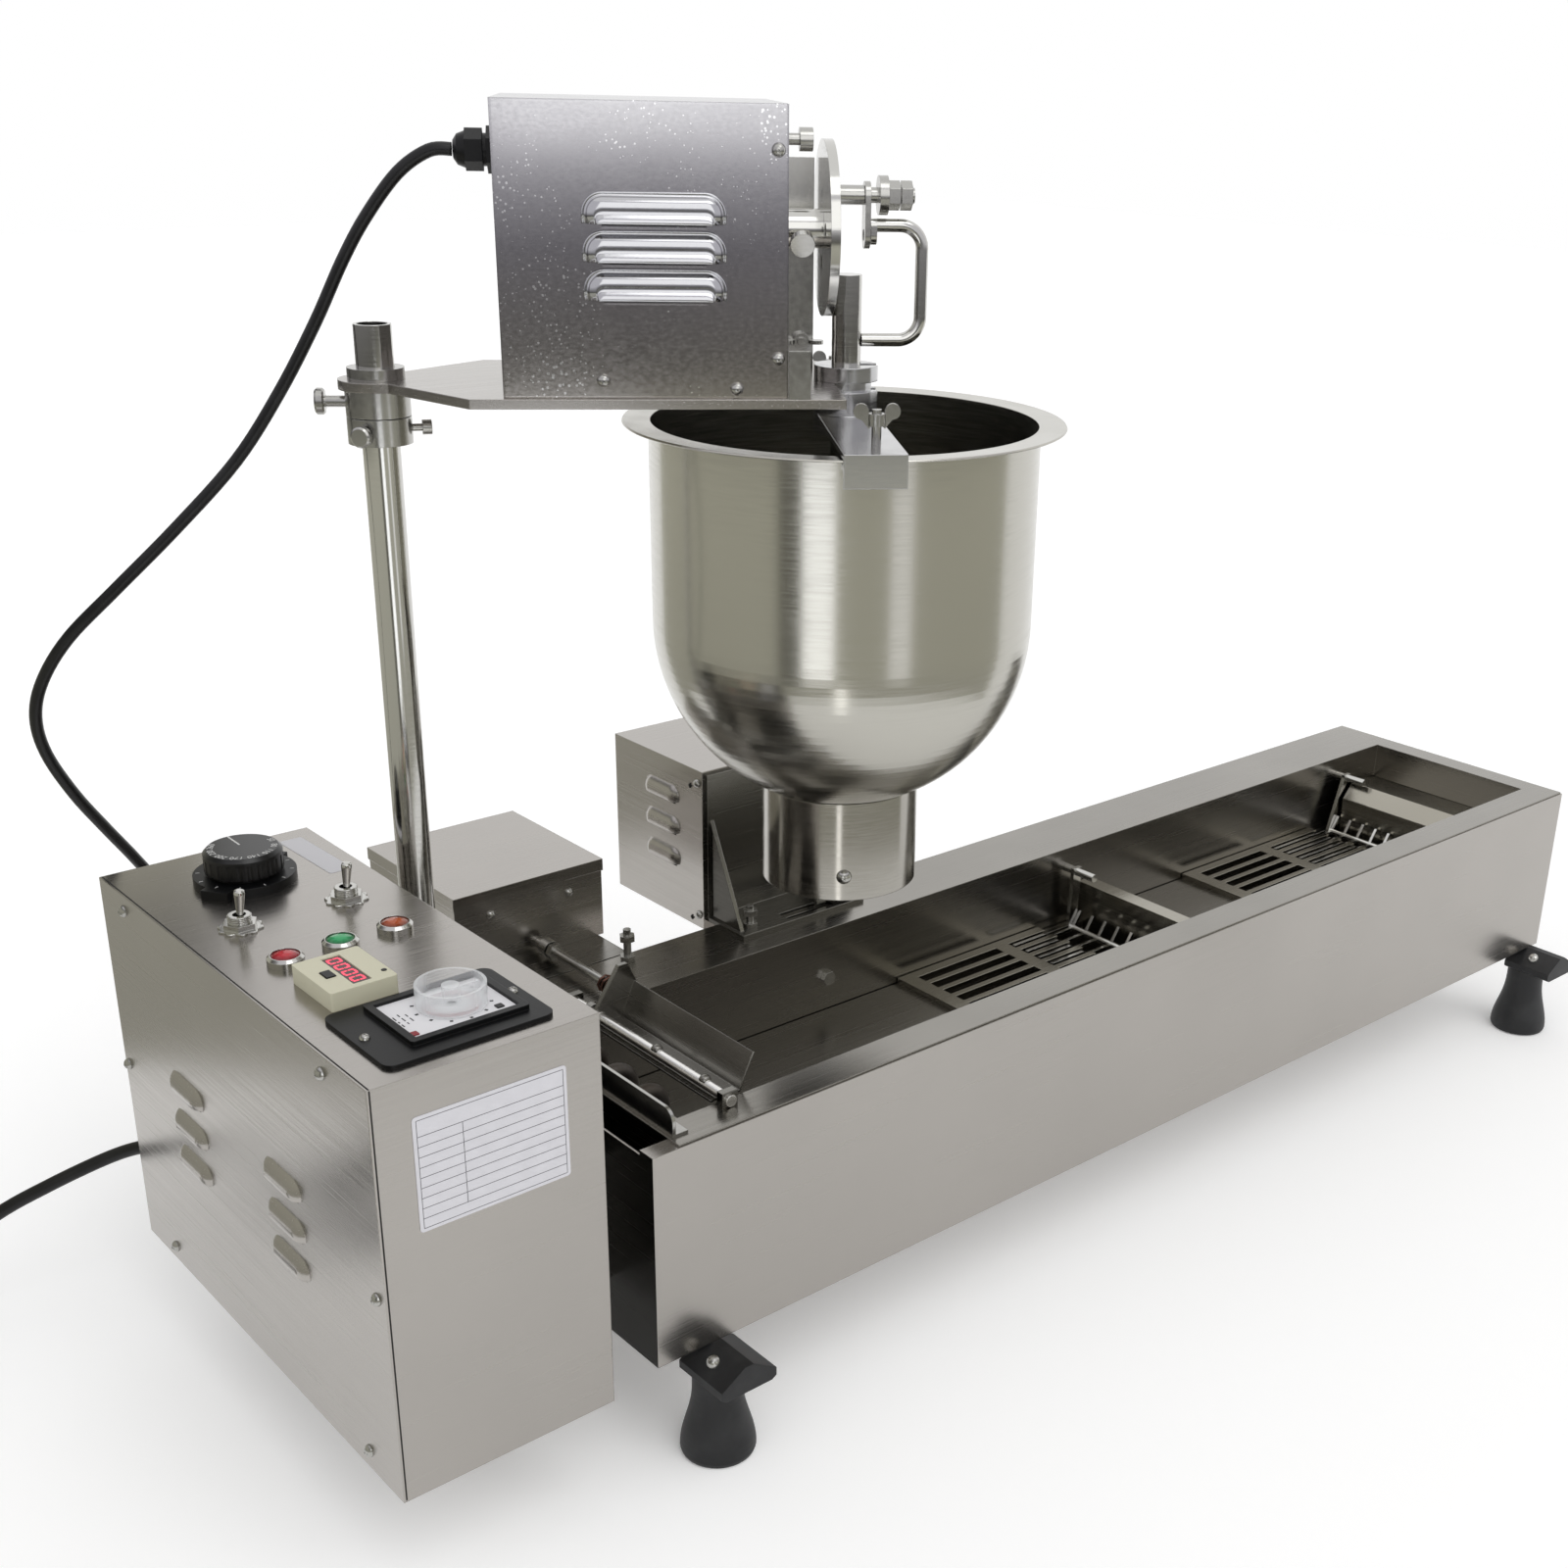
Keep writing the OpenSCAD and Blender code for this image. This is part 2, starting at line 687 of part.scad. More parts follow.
// Skirted dial knob with a grip of flutes round its side
module thermostat_knob() {
    z0 = ctrl_top + base_plate_h + 2;
    flutes = 24;
    color(black) place() translate([knob_spot[0], knob_spot[1], 0]) {
        difference() {
            union() {
                translate([0, 0, z0]) cylinder(d = knob_d, h = knob_h - 2, $fn = 96);
                translate([0, 0, z0 + knob_h - 2])
                    rotate_extrude($fn = 96) polygon([[0, 0], [knob_d / 2, 0], [knob_d / 2 - 2, 2], [0, 2]]);
            }
            for (k = [0 : flutes - 1]) rotate([0, 0, 360 * k / flutes])
                translate([knob_d / 2 + 1.6, 0, z0 - 1]) cylinder(r = 2.2, h = knob_h - 3, $fn = 16);
        }
        translate([0, 0, ctrl_top - 8]) cylinder(d = 6, h = z0 - ctrl_top + 9, $fn = fine);
    }
}

// Toggle bushes with washer and nut, and the lamps' chrome rings
module panel_bezels() {
    bush_h = 8;
    color(bright) place() {
        for (p = toggle_spots) translate([p[0], p[1], ctrl_top]) difference() {
            union() {
                cylinder(d = toggle_d + 9, h = 1, $fn = fine);
                hex_head(16, 4);
                translate([0, 0, -10]) cylinder(d = toggle_d, h = bush_h + 10, $fn = fine);
            }
            translate([0, 0, -3]) cylinder(d = 7, h = bush_h + 6, $fn = fine);
        }
        for (p = lamp_spots) translate([p[0], p[1], ctrl_top]) difference() {
            rotate_extrude($fn = 64) polygon([[0, -8], [lamp_hole_d / 2, -8], [lamp_hole_d / 2, 0],
                [bezel_d / 2, 0], [bezel_d / 2, 3.5], [bezel_d / 2 - 1.5, 5], [0, 5]]);
            translate([0, 0, 2]) cylinder(d = bezel_d - 4, h = 10, $fn = fine);
        }
    }
}

module lamp_lenses() {
    tints = ["#c3202c", "#2ba866", "#c0622c"];
    lens_r = bezel_d / 2 - 2 - run_fit;
    dome_r = bezel_d * 0.9;
    for (i = [0 : 2]) color(tints[i]) place() translate([lamp_spots[i][0], lamp_spots[i][1], ctrl_top + 2])
        intersection() {
            cylinder(r = lens_r, h = 10, $fn = fine);
            translate([0, 0, 4 - dome_r]) sphere(dome_r, $fn = 64);
        }
}

toggle_tilt = 10;
toggle_pivot_z = ctrl_top + 1;

// A bat lever that leans to one side of its bush
module toggle_lever(p, side) {
    stem = 7.5;
    color(bright) place() translate([p[0], p[1], toggle_pivot_z]) rotate([side * toggle_tilt, 0, 0]) {
        sphere(3.2, $fn = 32);
        cylinder(d = 3.6, h = stem, $fn = fine);
        translate([0, 0, stem]) rotate_extrude($fn = fine)
            polygon([[0, 0], [1.8, 0], [2.9, toggle_len - 2], [2.6, toggle_len - 0.6], [1.6, toggle_len], [0, toggle_len]]);
    }
}

module toggle_lever_left() {
    toggle_lever(toggle_spots[0], 1);
}

module toggle_lever_right() {
    toggle_lever(toggle_spots[1], 1);
}

button_spot = [counter_lo[0] + 9, counter_lo[1] + 21];
button_size = [5, 8];

module counter_housing() {
    window_lo = [14, 4, counter_size[2] - 1.5];
    window_size = [10, 35, 2];
    color("#c9c6b4") place() translate([counter_lo[0], counter_lo[1], ctrl_top]) difference() {
        linear_extrude(counter_size[2]) round_rect([counter_size[0], counter_size[1]], 1.5);
        translate(window_lo) cube(window_size);
        translate([button_spot[0] - counter_lo[0] - button_size[0] / 2 - seat,
            button_spot[1] - counter_lo[1] - button_size[1] / 2 - seat, counter_size[2] - 4])
            cube([button_size[0] + 2 * seat, button_size[1] + 2 * seat, 5]);
    }
}

module counter_button() {
    press = 1.2;
    color(black) place() translate([button_spot[0] - button_size[0] / 2, button_spot[1] - button_size[1] / 2,
        ctrl_top + counter_size[2] - 4 + press + seat]) cube([button_size[0], button_size[1], 4.2 - press]);
}

timer_frame_h = 4.5;
timer_face_in = 1.7;
timer_plate_h = 2;

// Wide black bezel plate with a raised frame round the timer's white face
module timer_frame() {
    plate_h = timer_plate_h;
    frame_h = timer_frame_h;
    frame_lo = [19, 11];
    frame_size = [64, 50];
    face_in = 4;
    color(black) place() translate([timer_lo[0], timer_lo[1], ctrl_top]) difference() {
        union() {
            linear_extrude(plate_h) round_rect(timer_size, 6);
            translate([frame_lo[0], frame_lo[1], 0]) linear_extrude(frame_h) round_rect(frame_size, 2);
        }
        translate([frame_lo[0] + face_in, frame_lo[1] + face_in, frame_h - timer_face_in])
            cube([frame_size[0] - 2 * face_in, frame_size[1] - 2 * face_in, 3]);
        translate([dial_spot[0] - timer_lo[0], dial_spot[1] - timer_lo[1], -1])
            cylinder(d = 5 + 2 * run_fit, h = 12, $fn = fine);
    }
}

// Clear cup-shaped dial with a cross web and a hub, on a thin spindle
module timer_dial() {
    z0 = ctrl_top + timer_frame_h - timer_face_in + 0.5;
    wall = 1.6;
    color([0.85, 0.87, 0.88, 0.6]) place() translate([dial_spot[0], dial_spot[1], z0]) {
        difference() {
            cylinder(d = dial_d, h = dial_h, $fn = 96);
            translate([0, 0, 2]) cylinder(d = dial_d - 2 * wall, h = dial_h, $fn = 96);
        }
        translate([0, 0, 1]) cylinder(d = 9, h = dial_h - 2, $fn = fine);
        translate([-dial_d / 2 + 1, -0.8, 1]) cube([dial_d - 2, 1.6, dial_h - 4]);
        translate([0, 0, ctrl_top - z0 + 0.3]) cylinder(d = 5, h = z0 - ctrl_top + 1, $fn = fine);
    }
}

power_spot = [26, ctrl_d, leg_h + 33];
cable_spot = [63, ctrl_d, leg_h + 155];
relief_len = 24;
gland_len = 18;

// Tapered relief of the power cord, and the gland of the motor's cable, on the back wall
module rear_glands() {
    color(black) place() {
        translate(power_spot) rotate([-90, 0, 0]) rotate_extrude($fn = fine)
            polygon([[0, 0], [13, 0], [13, 4], [9, 5], [cord_d / 2 + 1.6, relief_len], [0, relief_len]]);
        translate(cable_spot) rotate([-90, 0, 0]) gland(gland_len, cable_d);
    }
}

// Cable gland: hex foot, body and domed nut, on whose end the cable stands
module gland(l, d) {
    hex_head(20, 5);
    cylinder(d = 16, h = l - 4, $fn = fine);
    translate([0, 0, 7]) hex_head(18, l - 13);
    translate([0, 0, l - 6]) rotate_extrude($fn = fine)
        polygon([[0, 0], [9, 0], [7.5, 4], [d / 2 + 1.2, 6], [0, 6]]);
}

base_flange_h = 8;

module column() {
    wall = 2;
    color(bright) place() translate([col_x, col_y, flange_top]) difference() {
        union() {
            rotate_extrude($fn = 64) polygon([[0, 0], [col_r + 11, 0], [col_r + 11, 4], [col_r + 4, 6],
                [col_r + 4, base_flange_h + 8], [0, base_flange_h + 8]]);
            cylinder(r = col_r, h = col_top - flange_top, $fn = 64);
            for (a = [45 : 90 : 315]) rotate([0, 0, a]) translate([col_r + 7.5, 0, 4]) pan_head(5);
        }
        translate([0, 0, 20]) cylinder(r = col_r - wall, h = col_top, $fn = 64);
    }
}

// Folded shelf for the column and the small box, angle with gussets for the mid box, shaft bearings
module rear_brackets() {
    shelf_t = 3;
    shelf_x0 = casing_x - 27;
    shelf_x1 = small_x0 + small_len - 4;
    shelf_y1 = small_y0 + small_d;
    shelf_z = flange_top - shelf_t;
    y0 = casing_back + 0.3;
    web_h = 60;
    foot_y = mid_y0 - 41;
    rise = mid_h - 9;
    color(steel) place() {
        difference() {
            block([shelf_x0, y0, shelf_z], [shelf_x1, shelf_y1, flange_top]);
            block([shelf_x0 - 1, small_y0 + 30, shelf_z - 1], [small_x0 - 3, shelf_y1 + 1, flange_top + 1]);
        }
        block([shelf_x0, y0, shelf_z - web_h], [shelf_x1, y0 + shelf_t, shelf_z]);
        for (x = [shelf_x0, shelf_x1 - shelf_t])
            plate_yz(x, shelf_t) polygon([[y0, shelf_z], [y0 + 56, shelf_z], [y0, shelf_z - web_h]]);
    }
    color(dark_steel) place() {
        block([mid_x0 + 2, mid_y0 - shelf_t, flange_top], [mid_x0 + mid_len - 2, mid_y0, mid_z0 + mid_h - 2]);
        difference() {
            block([mid_x0 + 2, foot_y, flange_top], [mid_x0 + mid_len - 2, mid_y0, flange_top + shelf_t]);
            block([slot_x - 2, slot_y - 5, flange_top - 1], [slot_x + slot_len + 2, slot_y + 5, flange_top + 4]);
        }
        for (x = [mid_x0 + 4, mid_x0 + mid_len - 4 - shelf_t])
            plate_yz(x, shelf_t) polygon([[mid_y0 - shelf_t, flange_top + shelf_t],
                [foot_y + 6, flange_top + shelf_t], [mid_y0 - shelf_t, flange_top + rise * 0.7]]);
    }
    color(steel) place() for (y = [tank_front - 8, tank_back + 5]) difference() {
        block([paddle_x - 5.2, y, flange_top], [paddle_x + 5.2, y + 5, paddle_z + 5.2]);
        rod_y([paddle_x, y - 1, paddle_z], paddle_d + 2 * run_fit, 7);
    }
}

// Closed sheet box for the fork drive, with three louvers on its left wall
module mid_drive_box() {
    rows = [mid_h * 0.37, mid_h * 0.57, mid_h * 0.77];
    louver_l = 46;
    y_mid = mid_y0 + mid_d * 0.45;
    color(steel) place() {
        difference() {
            block([mid_x0, mid_y0, mid_z0], [mid_x0 + mid_len, mid_y0 + mid_d, mid_z0 + mid_h]);
            block([mid_x0 + sheet, mid_y0 + sheet, mid_z0 + sheet],
                [mid_x0 + mid_len - sheet, mid_y0 + mid_d - sheet, mid_z0 + mid_h - sheet]);
            for (z = rows)
                translate([mid_x0, y_mid, mid_z0 + z]) rotate([90, 0, -90]) louver_slot(louver_l, sheet);
        }
        for (z = rows)
            translate([mid_x0, y_mid, mid_z0 + z]) rotate([90, 0, -90]) louver_hood(louver_l);
    }
}

// Low sheet box with a cap lid for the paddle drive
module small_drive_box() {
    lid_h = 8;
    x1 = small_x0 + small_len;
    y1 = small_y0 + small_d;
    top = small_z0 + small_h;
    color(steel) place() difference() {
        union() {
            block([small_x0, small_y0, small_z0], [x1, y1, top - lid_h]);
            block([small_x0 - 0.8, small_y0 - 0.8, top - lid_h], [x1 + 0.8, y1 + 0.8, top]);
        }
        block([small_x0 + sheet, small_y0 + sheet, small_z0 + sheet], [x1 - sheet, y1 - sheet, top - sheet]);
        rod_y([cam_x, small_y0 - 1, cam_z], cam_rod_d + 2 * run_fit, 4);
    }
}

// A gearmotor: square gear case with a round motor behind it
module gearmotor(case, motor_d, motor_l) {
    translate([-case[0] / 2, 0, -case[2] / 2]) cube(case);
    rod_y([0, case[1], 0], motor_d, motor_l);
}

module drive_gearmotors() {
    mid_case = [60, 34, 60];
    small_case = [70, 38, 38];
    color(dark_steel) place() {
        translate([mid_x0 + mid_len / 2, mid_y0 + sheet, mid_z0 + sheet + 30]) gearmotor(mid_case, 50, 48);
        difference() {
            translate([small_x0 + small_len / 2, small_y0 + sheet, small_z0 + sheet + 19])
                gearmotor(small_case, 36, 50);
            rod_y([cam_x, small_y0, cam_z], cam_rod_d + 2 * run_fit, 30);
        }
    }
}

// A turning fork: shaft stub, side arm, cross rod and a comb of bent tines
module fork(i) {
    px = pivot_x[i];
    cx = comb_x[i];
    end = grid_end[i];
    low = tray_z - comb_drop;
    top = tray_z + grid_t - tine_w / 2 - 0.2;
    left = grid_x[i] + rib_at + rib_w + 2;
    path = [[left, top], [end - 5, top], [end + 1, low], [cx - 1, low], [cx + 7, low + 12]];
    swing = fork_swing / 2;
    color(bright) place() {
        rod_y([px, fork_arm_y - 17, pivot_z], fork_shaft_d, tank_back + 8 + lever_t - fork_arm_y + 17);
        plate_xz(fork_arm_y, fork_arm_t) polygon(strip([[px, pivot_z + 3], [px, pivot_z], [cx, low - 2]], 8));
        rod_y([cx, tine_y(0) - 2, low], 5, fork_arm_y + fork_arm_t - tine_y(0) + 2);
        for (k = [0 : tine_count - 1])
            plate_xz(tine_y(k) - tine_w / 2, tine_w) polygon(strip(path, 2.4));
        translate([px, 0, pivot_z]) rotate([0, -swing, 0]) {
            rod_y([0, tank_back + 8, -lever_r], 10, lever_t);
            rod_y([0, tank_back + 8, 0], 12, lever_t);
            block([-4, tank_back + 8, -lever_r], [4, tank_back + 8 + lever_t, 0]);
            rod_y([0, tank_back + 8, -lever_r], pin_d, bar_y + bar_t + 2 - tank_back - 8);
        }
    }
}

module fork_1() {
    fork(0);
}

module fork_2() {
    fork(1);
}

// Push bar under the back flange, slotted for both forks' pins, with a tab up through the flange's slot
module fork_bar() {
    swing = fork_swing / 2;
    pin_x = lever_r * sin(swing);
    low_z = pivot_z - lever_r - pin_d / 2 - 1;
    high_z = pivot_z - lever_r * cos(swing) + pin_d / 2 + 1;
    tab_x = slot_x + slot_len - 3 - tab_w;
    color(steel) place() {
        difference() {
            union() {
                block([tab_x, bar_y, low_z], [pivot_x[1] + pin_x + 10, bar_y + bar_t, low_z + 12]);
                for (x = pivot_x)
                    block([x + pin_x - 10, bar_y, low_z - 4], [x + pin_x + 10, bar_y + bar_t, high_z + 4]);
            }
            for (x = pivot_x)
                block([x + pin_x - pin_d / 2 - pin_slack / 2, bar_y - 1, low_z],
                    [x + pin_x + pin_d / 2 + pin_slack / 2, bar_y + bar_t + 1, high_z]);
        }
        block([tab_x, bar_y, low_z], [tab_x + tab_w, slot_y + bar_t / 2, low_z + 3]);
        difference() {
            block([tab_x, slot_y - bar_t / 2, low_z], [tab_x + tab_w, slot_y + bar_t / 2, flange_top + 14]);
            rod_y([tab_x + tab_w / 2, slot_y - 5, flange_top + 9], 4, 10);
        }
    }
}

// Flap on its cross shaft at the tank's left end, with the lever that the cam presses
module paddle() {
    leaf_y0 = tank_front + 3;
    leaf_y1 = cam_y - 7;
    leaf = [[-5, -4.1], [15, -4.1], [25, 17]];
    color(steel) place() {
        rod_y([paddle_x, tank_front - 9.5, paddle_z], paddle_d, tank_back + 13 - tank_front + 9.5);
        translate([paddle_x, 0, paddle_z]) {
            plate_xz(leaf_y0, leaf_y1 - leaf_y0) polygon(strip(leaf, 1.2));
            plate_xz(leaf_y1, 3) polygon([[-4, -4], [14, -4], [26, 17], [20, 30], [14, 30], [-4, 4]]);
            for (y = [leaf_y0 + 12, leaf_y0 + 58]) translate([0, y, paddle_d / 2 - 0.4]) pan_head(7);
            translate([0, cam_y - 1, 0]) rotate([-90, 0, 0]) cylinder(d = 13, h = 5, $fn = fine);
            plate_xz(cam_y - 1, 5) rotate(-25) translate([0, -lever_half]) square([42, 2 * lever_half]);
        }
    }
}

spring_wire = 1.6;
spring_d = 10.6;
spring_turns = 5;
spring_pitch = 3.6;
spring_y = cam_y + 8;

// Drive shaft of the paddle with its eccentric cam, the spring's sleeve and a collar
module paddle_cam() {
    color(bright) place() {
        rod_y([cam_x, cam_y, cam_z], cam_rod_d, small_y0 + 18 - cam_y);
        rod_y([cam_x, cam_y - 0.5, cam_z + cam_throw], 2 * cam_r, 4);
        rod_y([cam_x, small_y0 - 16, cam_z], 12, 8);
        rod_y([cam_x, spring_y, cam_z], spring_d - spring_wire - 2 * seat, spring_turns * spring_pitch);
        translate([cam_x, small_y0 - 17, cam_z]) rotate([90, 0, 0]) hex_head(10, 4);
    }
}

curl_rings = 8;
spring_route = [for (k = [0 : spring_turns * curl_rings])
    [cam_x + spring_d / 2 * cos(360 * k / curl_rings), spring_y + spring_pitch * k / curl_rings,
        cam_z + spring_d / 2 * sin(360 * k / curl_rings)]];

// Least gap between the turns of a wound tube, measured between the points of its centre line
function least_gap(p, d, skip) =
    min([for (i = [0 : len(p) - 1 - skip], j = [i + skip : len(p) - 1]) norm(p[i] - p[j])]) - d;
echo(spring_least_gap = least_gap(spring_route, spring_wire, 5));

// Return spring round the drive shaft, wound as one unbroken wire
module paddle_spring() {
    color("#7b3f2e") place() tube(spring_route, spring_wire, 6, [1, 0, 0]);
}

module sleeve(z, r, h, bore) {
    translate([0, 0, z]) difference() {
        cylinder(r = r, h = h, $fn = 96);
        translate([0, 0, -1]) cylinder(r = bore, h = h + 2, $fn = 64);
    }
}

screw_d = 6;

// Loose ring under the arm's collar, held by screws in its wall
module stop_collar() {
    z = stop_z + collar_h * 0.45;
    color(steel) on_arm() {
        difference() {
            sleeve(stop_z, collar_d / 2, collar_h, col_r + run_fit);
            translate([0, 0, z]) rotate([90, 0, -20]) cylinder(d = screw_d + 2 * run_fit, h = collar_d, $fn = fine);
        }
        translate([0, 0, z + 1]) rotate([0, 90, 10]) {
            translate([0, 0, collar_d / 2 - 1]) cylinder(d = 4, h = 7, $fn = fine);
            translate([0, 0, collar_d / 2 + 5]) cylinder(d = 8, h = 5, $fn = fine);
        }
    }
}

// A thumb screw along +z with its tip at the origin
module thumb_screw(l, head_d) {
    cylinder(d = screw_d, h = l, $fn = fine);
    translate([0, 0, l]) rotate_extrude($fn = fine)
        polygon([[0, 0], [head_d / 2 - 1, 0], [head_d / 2, 1], [head_d / 2, 4], [head_d / 2 - 1, 5], [0, 5]]);
}

module stop_screw() {
    color(bright) on_arm() translate([0, 0, stop_z + collar_h * 0.45]) rotate([90, 0, -20])
        translate([0, 0, col_r + seat]) thumb_screw(collar_d / 2 - col_r + 2.5, 11);
}

module arm_screw() {
    color(bright) on_arm() translate([0, 0, collar_z + collar_h / 2]) rotate([0, -90, 0])
        translate([0, 0, col_r + seat]) thumb_screw(collar_d / 2 - col_r + 10, 14);
}

// Sleeve under the arm plate, its neck through the plate, and the ring on top
module arm_collar() {
    neck = col_r + 2.5;
    color(steel) on_arm() difference() {
        union() {
            sleeve(collar_z, collar_d / 2, collar_h, col_r + run_fit);
            sleeve(arm_z, neck, arm_t, col_r + run_fit);
            sleeve(arm_top, col_r + 5, 6, col_r + run_fit);
        }
        translate([0, 0, collar_z + collar_h / 2]) rotate([0, -90, 0])
            cylinder(d = screw_d + 2 * run_fit, h = collar_d, $fn = fine);
    }
}

module arm_plate() {
    spread = 52;
    color(steel) on_arm() translate([0, 0, arm_z]) linear_extrude(arm_t) difference() {
        union() {
            circle(r = 20, $fn = 96);
            polygon([[0, -20], [8, -20], [spread, -arm_w / 2], [plate_end, -arm_w / 2],
                [plate_end, arm_w / 2], [spread, arm_w / 2], [8, 20], [0, 20]]);
        }
        circle(r = col_r + 2.5 + run_fit, $fn = 64);
        translate([arm_len, 0]) circle(r = groove_r + run_fit, $fn = 64);
        translate([arm_len, -groove_r - run_fit]) square([30, 2 * (groove_r + run_fit)]);
    }
}

// Folded alloy housing over the depositor's motor, louvered on its long walls
module motor_box() {
    louver_l = 67;
    mid_s = head_left + 77;
    rows = [88, 70, 52];
    color(alloy) on_arm() {
        difference() {
            block([head_left, -head_w / 2, arm_top], [head_right, head_w / 2, arm_top + head_h]);
            block([head_left + sheet, -head_w / 2 + sheet, arm_top - 1],
                [head_right - sheet, head_w / 2 - sheet, arm_top + head_h - sheet]);
            rod_x([head_right - 3, 0, shaft_z], 2 * hub_r + 1, 6);
            for (z = rows)
                translate([mid_s, -head_w / 2, arm_top + z]) rotate([90, 0, 0]) louver_slot(louver_l, sheet);
        }
        for (z = rows)
            translate([mid_s, -head_w / 2, arm_top + z]) rotate([90, 0, 0]) louver_hood(louver_l);
    }
}

module head_gearmotor() {
    case_l = 50;
    wall = head_right - sheet;
    color(dark_steel) on_arm() difference() {
        union() {
            block([wall - case_l, -38, arm_top], [wall - 0.5, 38, shaft_z + 38]);
            rod_x([head_left + 14, 0, shaft_z - 12], 64, wall - case_l - head_left - 14);
        }
        rod_x([wall - 20, 0, shaft_z], 14 + 2 * run_fit, 30);
    }
}

head_screw_spots = [[138, 119], [138, 20], [117, 5], [50, 9]];

module head_screws() {
    color(bright) on_arm() {
        for (p = head_screw_spots)
            translate([head_left + p[0], -head_w / 2, arm_top + p[1]]) rotate([90, 0, 0]) pan_head(7);
        for (a = [-93, 27, 147])
            translate([arm_len, 0, neck_z + 15]) rotate([0, 0, a]) translate([neck_r, 0, 0])
                rotate([0, 90, 0]) pan_head(9);
    }
}

gland_z = arm_top + 114;

module cable_gland() {
    color(black) on_arm() translate([head_left, 0, gland_z]) rotate([0, -90, 0]) gland(22, cable_d);
}

// Upright side plate of the crank, its wing nut, and the end switch near the disc's top
module head_bracket() {
    x1 = disc_s - 1.2;
    x0 = head_right + 0.3;
    wing_s = x1 - 7;
    wing_z = arm_top + 17;
    switch_z = shaft_z + disc_d / 2 - 1;
    color(bright) on_arm() {
        difference() {
            block([x0, bracket_t, arm_top], [x1, bracket_t + 3, arm_top + 112]);
            rod_y([wing_s, bracket_t - 1, wing_z], 5, 5);
        }
        block([x0, bracket_t, arm_top], [x0 + 12, bracket_t + 14, arm_top + 2]);
        block([x0, -head_w / 2 - 2, arm_top], [x0 + 11, -head_w / 2 + 1, arm_top + 24]);
        translate([wing_s, bracket_t + 6, wing_z]) rotate([90, 0, 0]) {
            cylinder(d = 4.8, h = 15, $fn = fine);
            translate([0, 0, 6]) wing_head();
        }
        rod_x([head_right, 12, switch_z], 6, 14);
        rod_x([head_right + 13, 12, switch_z], 12, 7);
    }
}

// Hub of a wing screw or nut with two round ears
module wing_head() {
    cylinder(d = 9, h = 6, $fn = fine);
    for (side = [-1, 1]) rotate([90, 0, 0]) translate([side * 8, 7, -1]) {
        cylinder(r = 4, h = 2, $fn = fine);
        rotate([0, 0, side > 0 ? 230 : -50]) translate([0, -2.5, 0]) cube([9, 5, 2]);
    }
}

spider_z = rim_z + 1.4;
spider_t = 3;
wing_t = 96;

// Grooved guide collar that hangs in the arm plate, with the two plates that carry the hopper's rim
module hopper_collar() {
    lip_t = rim_r + 1;
    wide = 16;
    hook_z = rim_z - bowl_t - 0.3;
    slot_low = handle_low_z - 2 * crank_r - handle_d / 2 - 0.5;
    color(alloy) on_arm() translate([arm_len, 0, 0]) difference() {
        union() {
            translate([0, 0, rim_z - 6]) cylinder(r = guide_r, h = arm_z - rim_z + 6, $fn = 96);
            translate([0, 0, arm_z]) cylinder(r = groove_r, h = arm_t, $fn = 96);
            translate([0, 0, arm_top]) cylinder(r = guide_r, h = 8, $fn = 96);
            for (side = [-1, 1]) {
                translate([0, 0, spider_z]) linear_extrude(spider_t)
                    polygon([[-16, 0], [16, 0], [wide, side * (lip_t + 3)], [-wide, side * (lip_t + 3)]]);
                block([-wide, min(side * lip_t, side * (lip_t + 3)), spider_z - 14],
                    [wide, max(side * lip_t, side * (lip_t + 3)), spider_z]);
                block([-wide, min(side * (rim_r - 7), side * lip_t), hook_z - 3],
                    [wide, max(side * (rim_r - 7), side * lip_t), hook_z]);
            }
        }
        translate([0, 0, rim_z - 10]) cylinder(d = plunger_d + 2 * run_fit, h = 60, $fn = 64);
        block([0, -handle_d / 2 - 0.4, slot_low], [guide_r + 5, handle_d / 2 + 0.4, arm_top + 30]);
        for (side = [-1, 1]) translate([4, side * wing_t, spider_z - 1])
            cylinder(d = 5 + 2 * run_fit, h = 6, $fn = fine);
    }
}

// Wing screw that clamps the hopper's plate
module wing_screw(side) {
    color(bright) on_arm() translate([arm_len + 4, side * wing_t, spider_z - 8]) {
        cylinder(d = 5, h = 28, $fn = fine);
        translate([0, 0, 20]) wing_head();
    }
}

module wing_screw_front() {
    wing_screw(-1);
}

module wing_screw_rear() {
    wing_screw(1);
}

// Straight-sided bowl with a hemispherical floor, a spout and a turned-out rim
module hopper() {
    arc = 24;
    floor_a = asin(neck_r / bowl_r);
    outer = [for (i = [0 : arc]) let (a = floor_a + (90 - floor_a) * i / arc)
        [bowl_r * sin(a), bowl_mid_z - bowl_r * cos(a)]];
    inner_r = bowl_r - bowl_t;
    spout_r = neck_r - 3.3;
    inner_a = asin((spout_r - bowl_t) / inner_r);
    inner = [for (i = [arc : -1 : 0]) let (a = inner_a + (90 - inner_a) * i / arc)
        [inner_r * sin(a), bowl_mid_z - inner_r * cos(a)]];
    color(bright) on_arm() translate([arm_len, 0, 0]) rotate_extrude($fn = 128)
        polygon(concat(
            [[spout_r, bowl_floor_z - 18], [spout_r, bowl_floor_z + 0.05], [neck_r, bowl_floor_z + 0.05]],
            outer,
            [[bowl_r, rim_z - bowl_t], [rim_r, rim_z - bowl_t + 0.6], [rim_r + 0.3, rim_z - 0.2],
                [rim_r - 0.3, rim_z + 0.6], [inner_r, rim_z]],
            inner,
            [[spout_r - bowl_t, bowl_floor_z - 18]]));
}

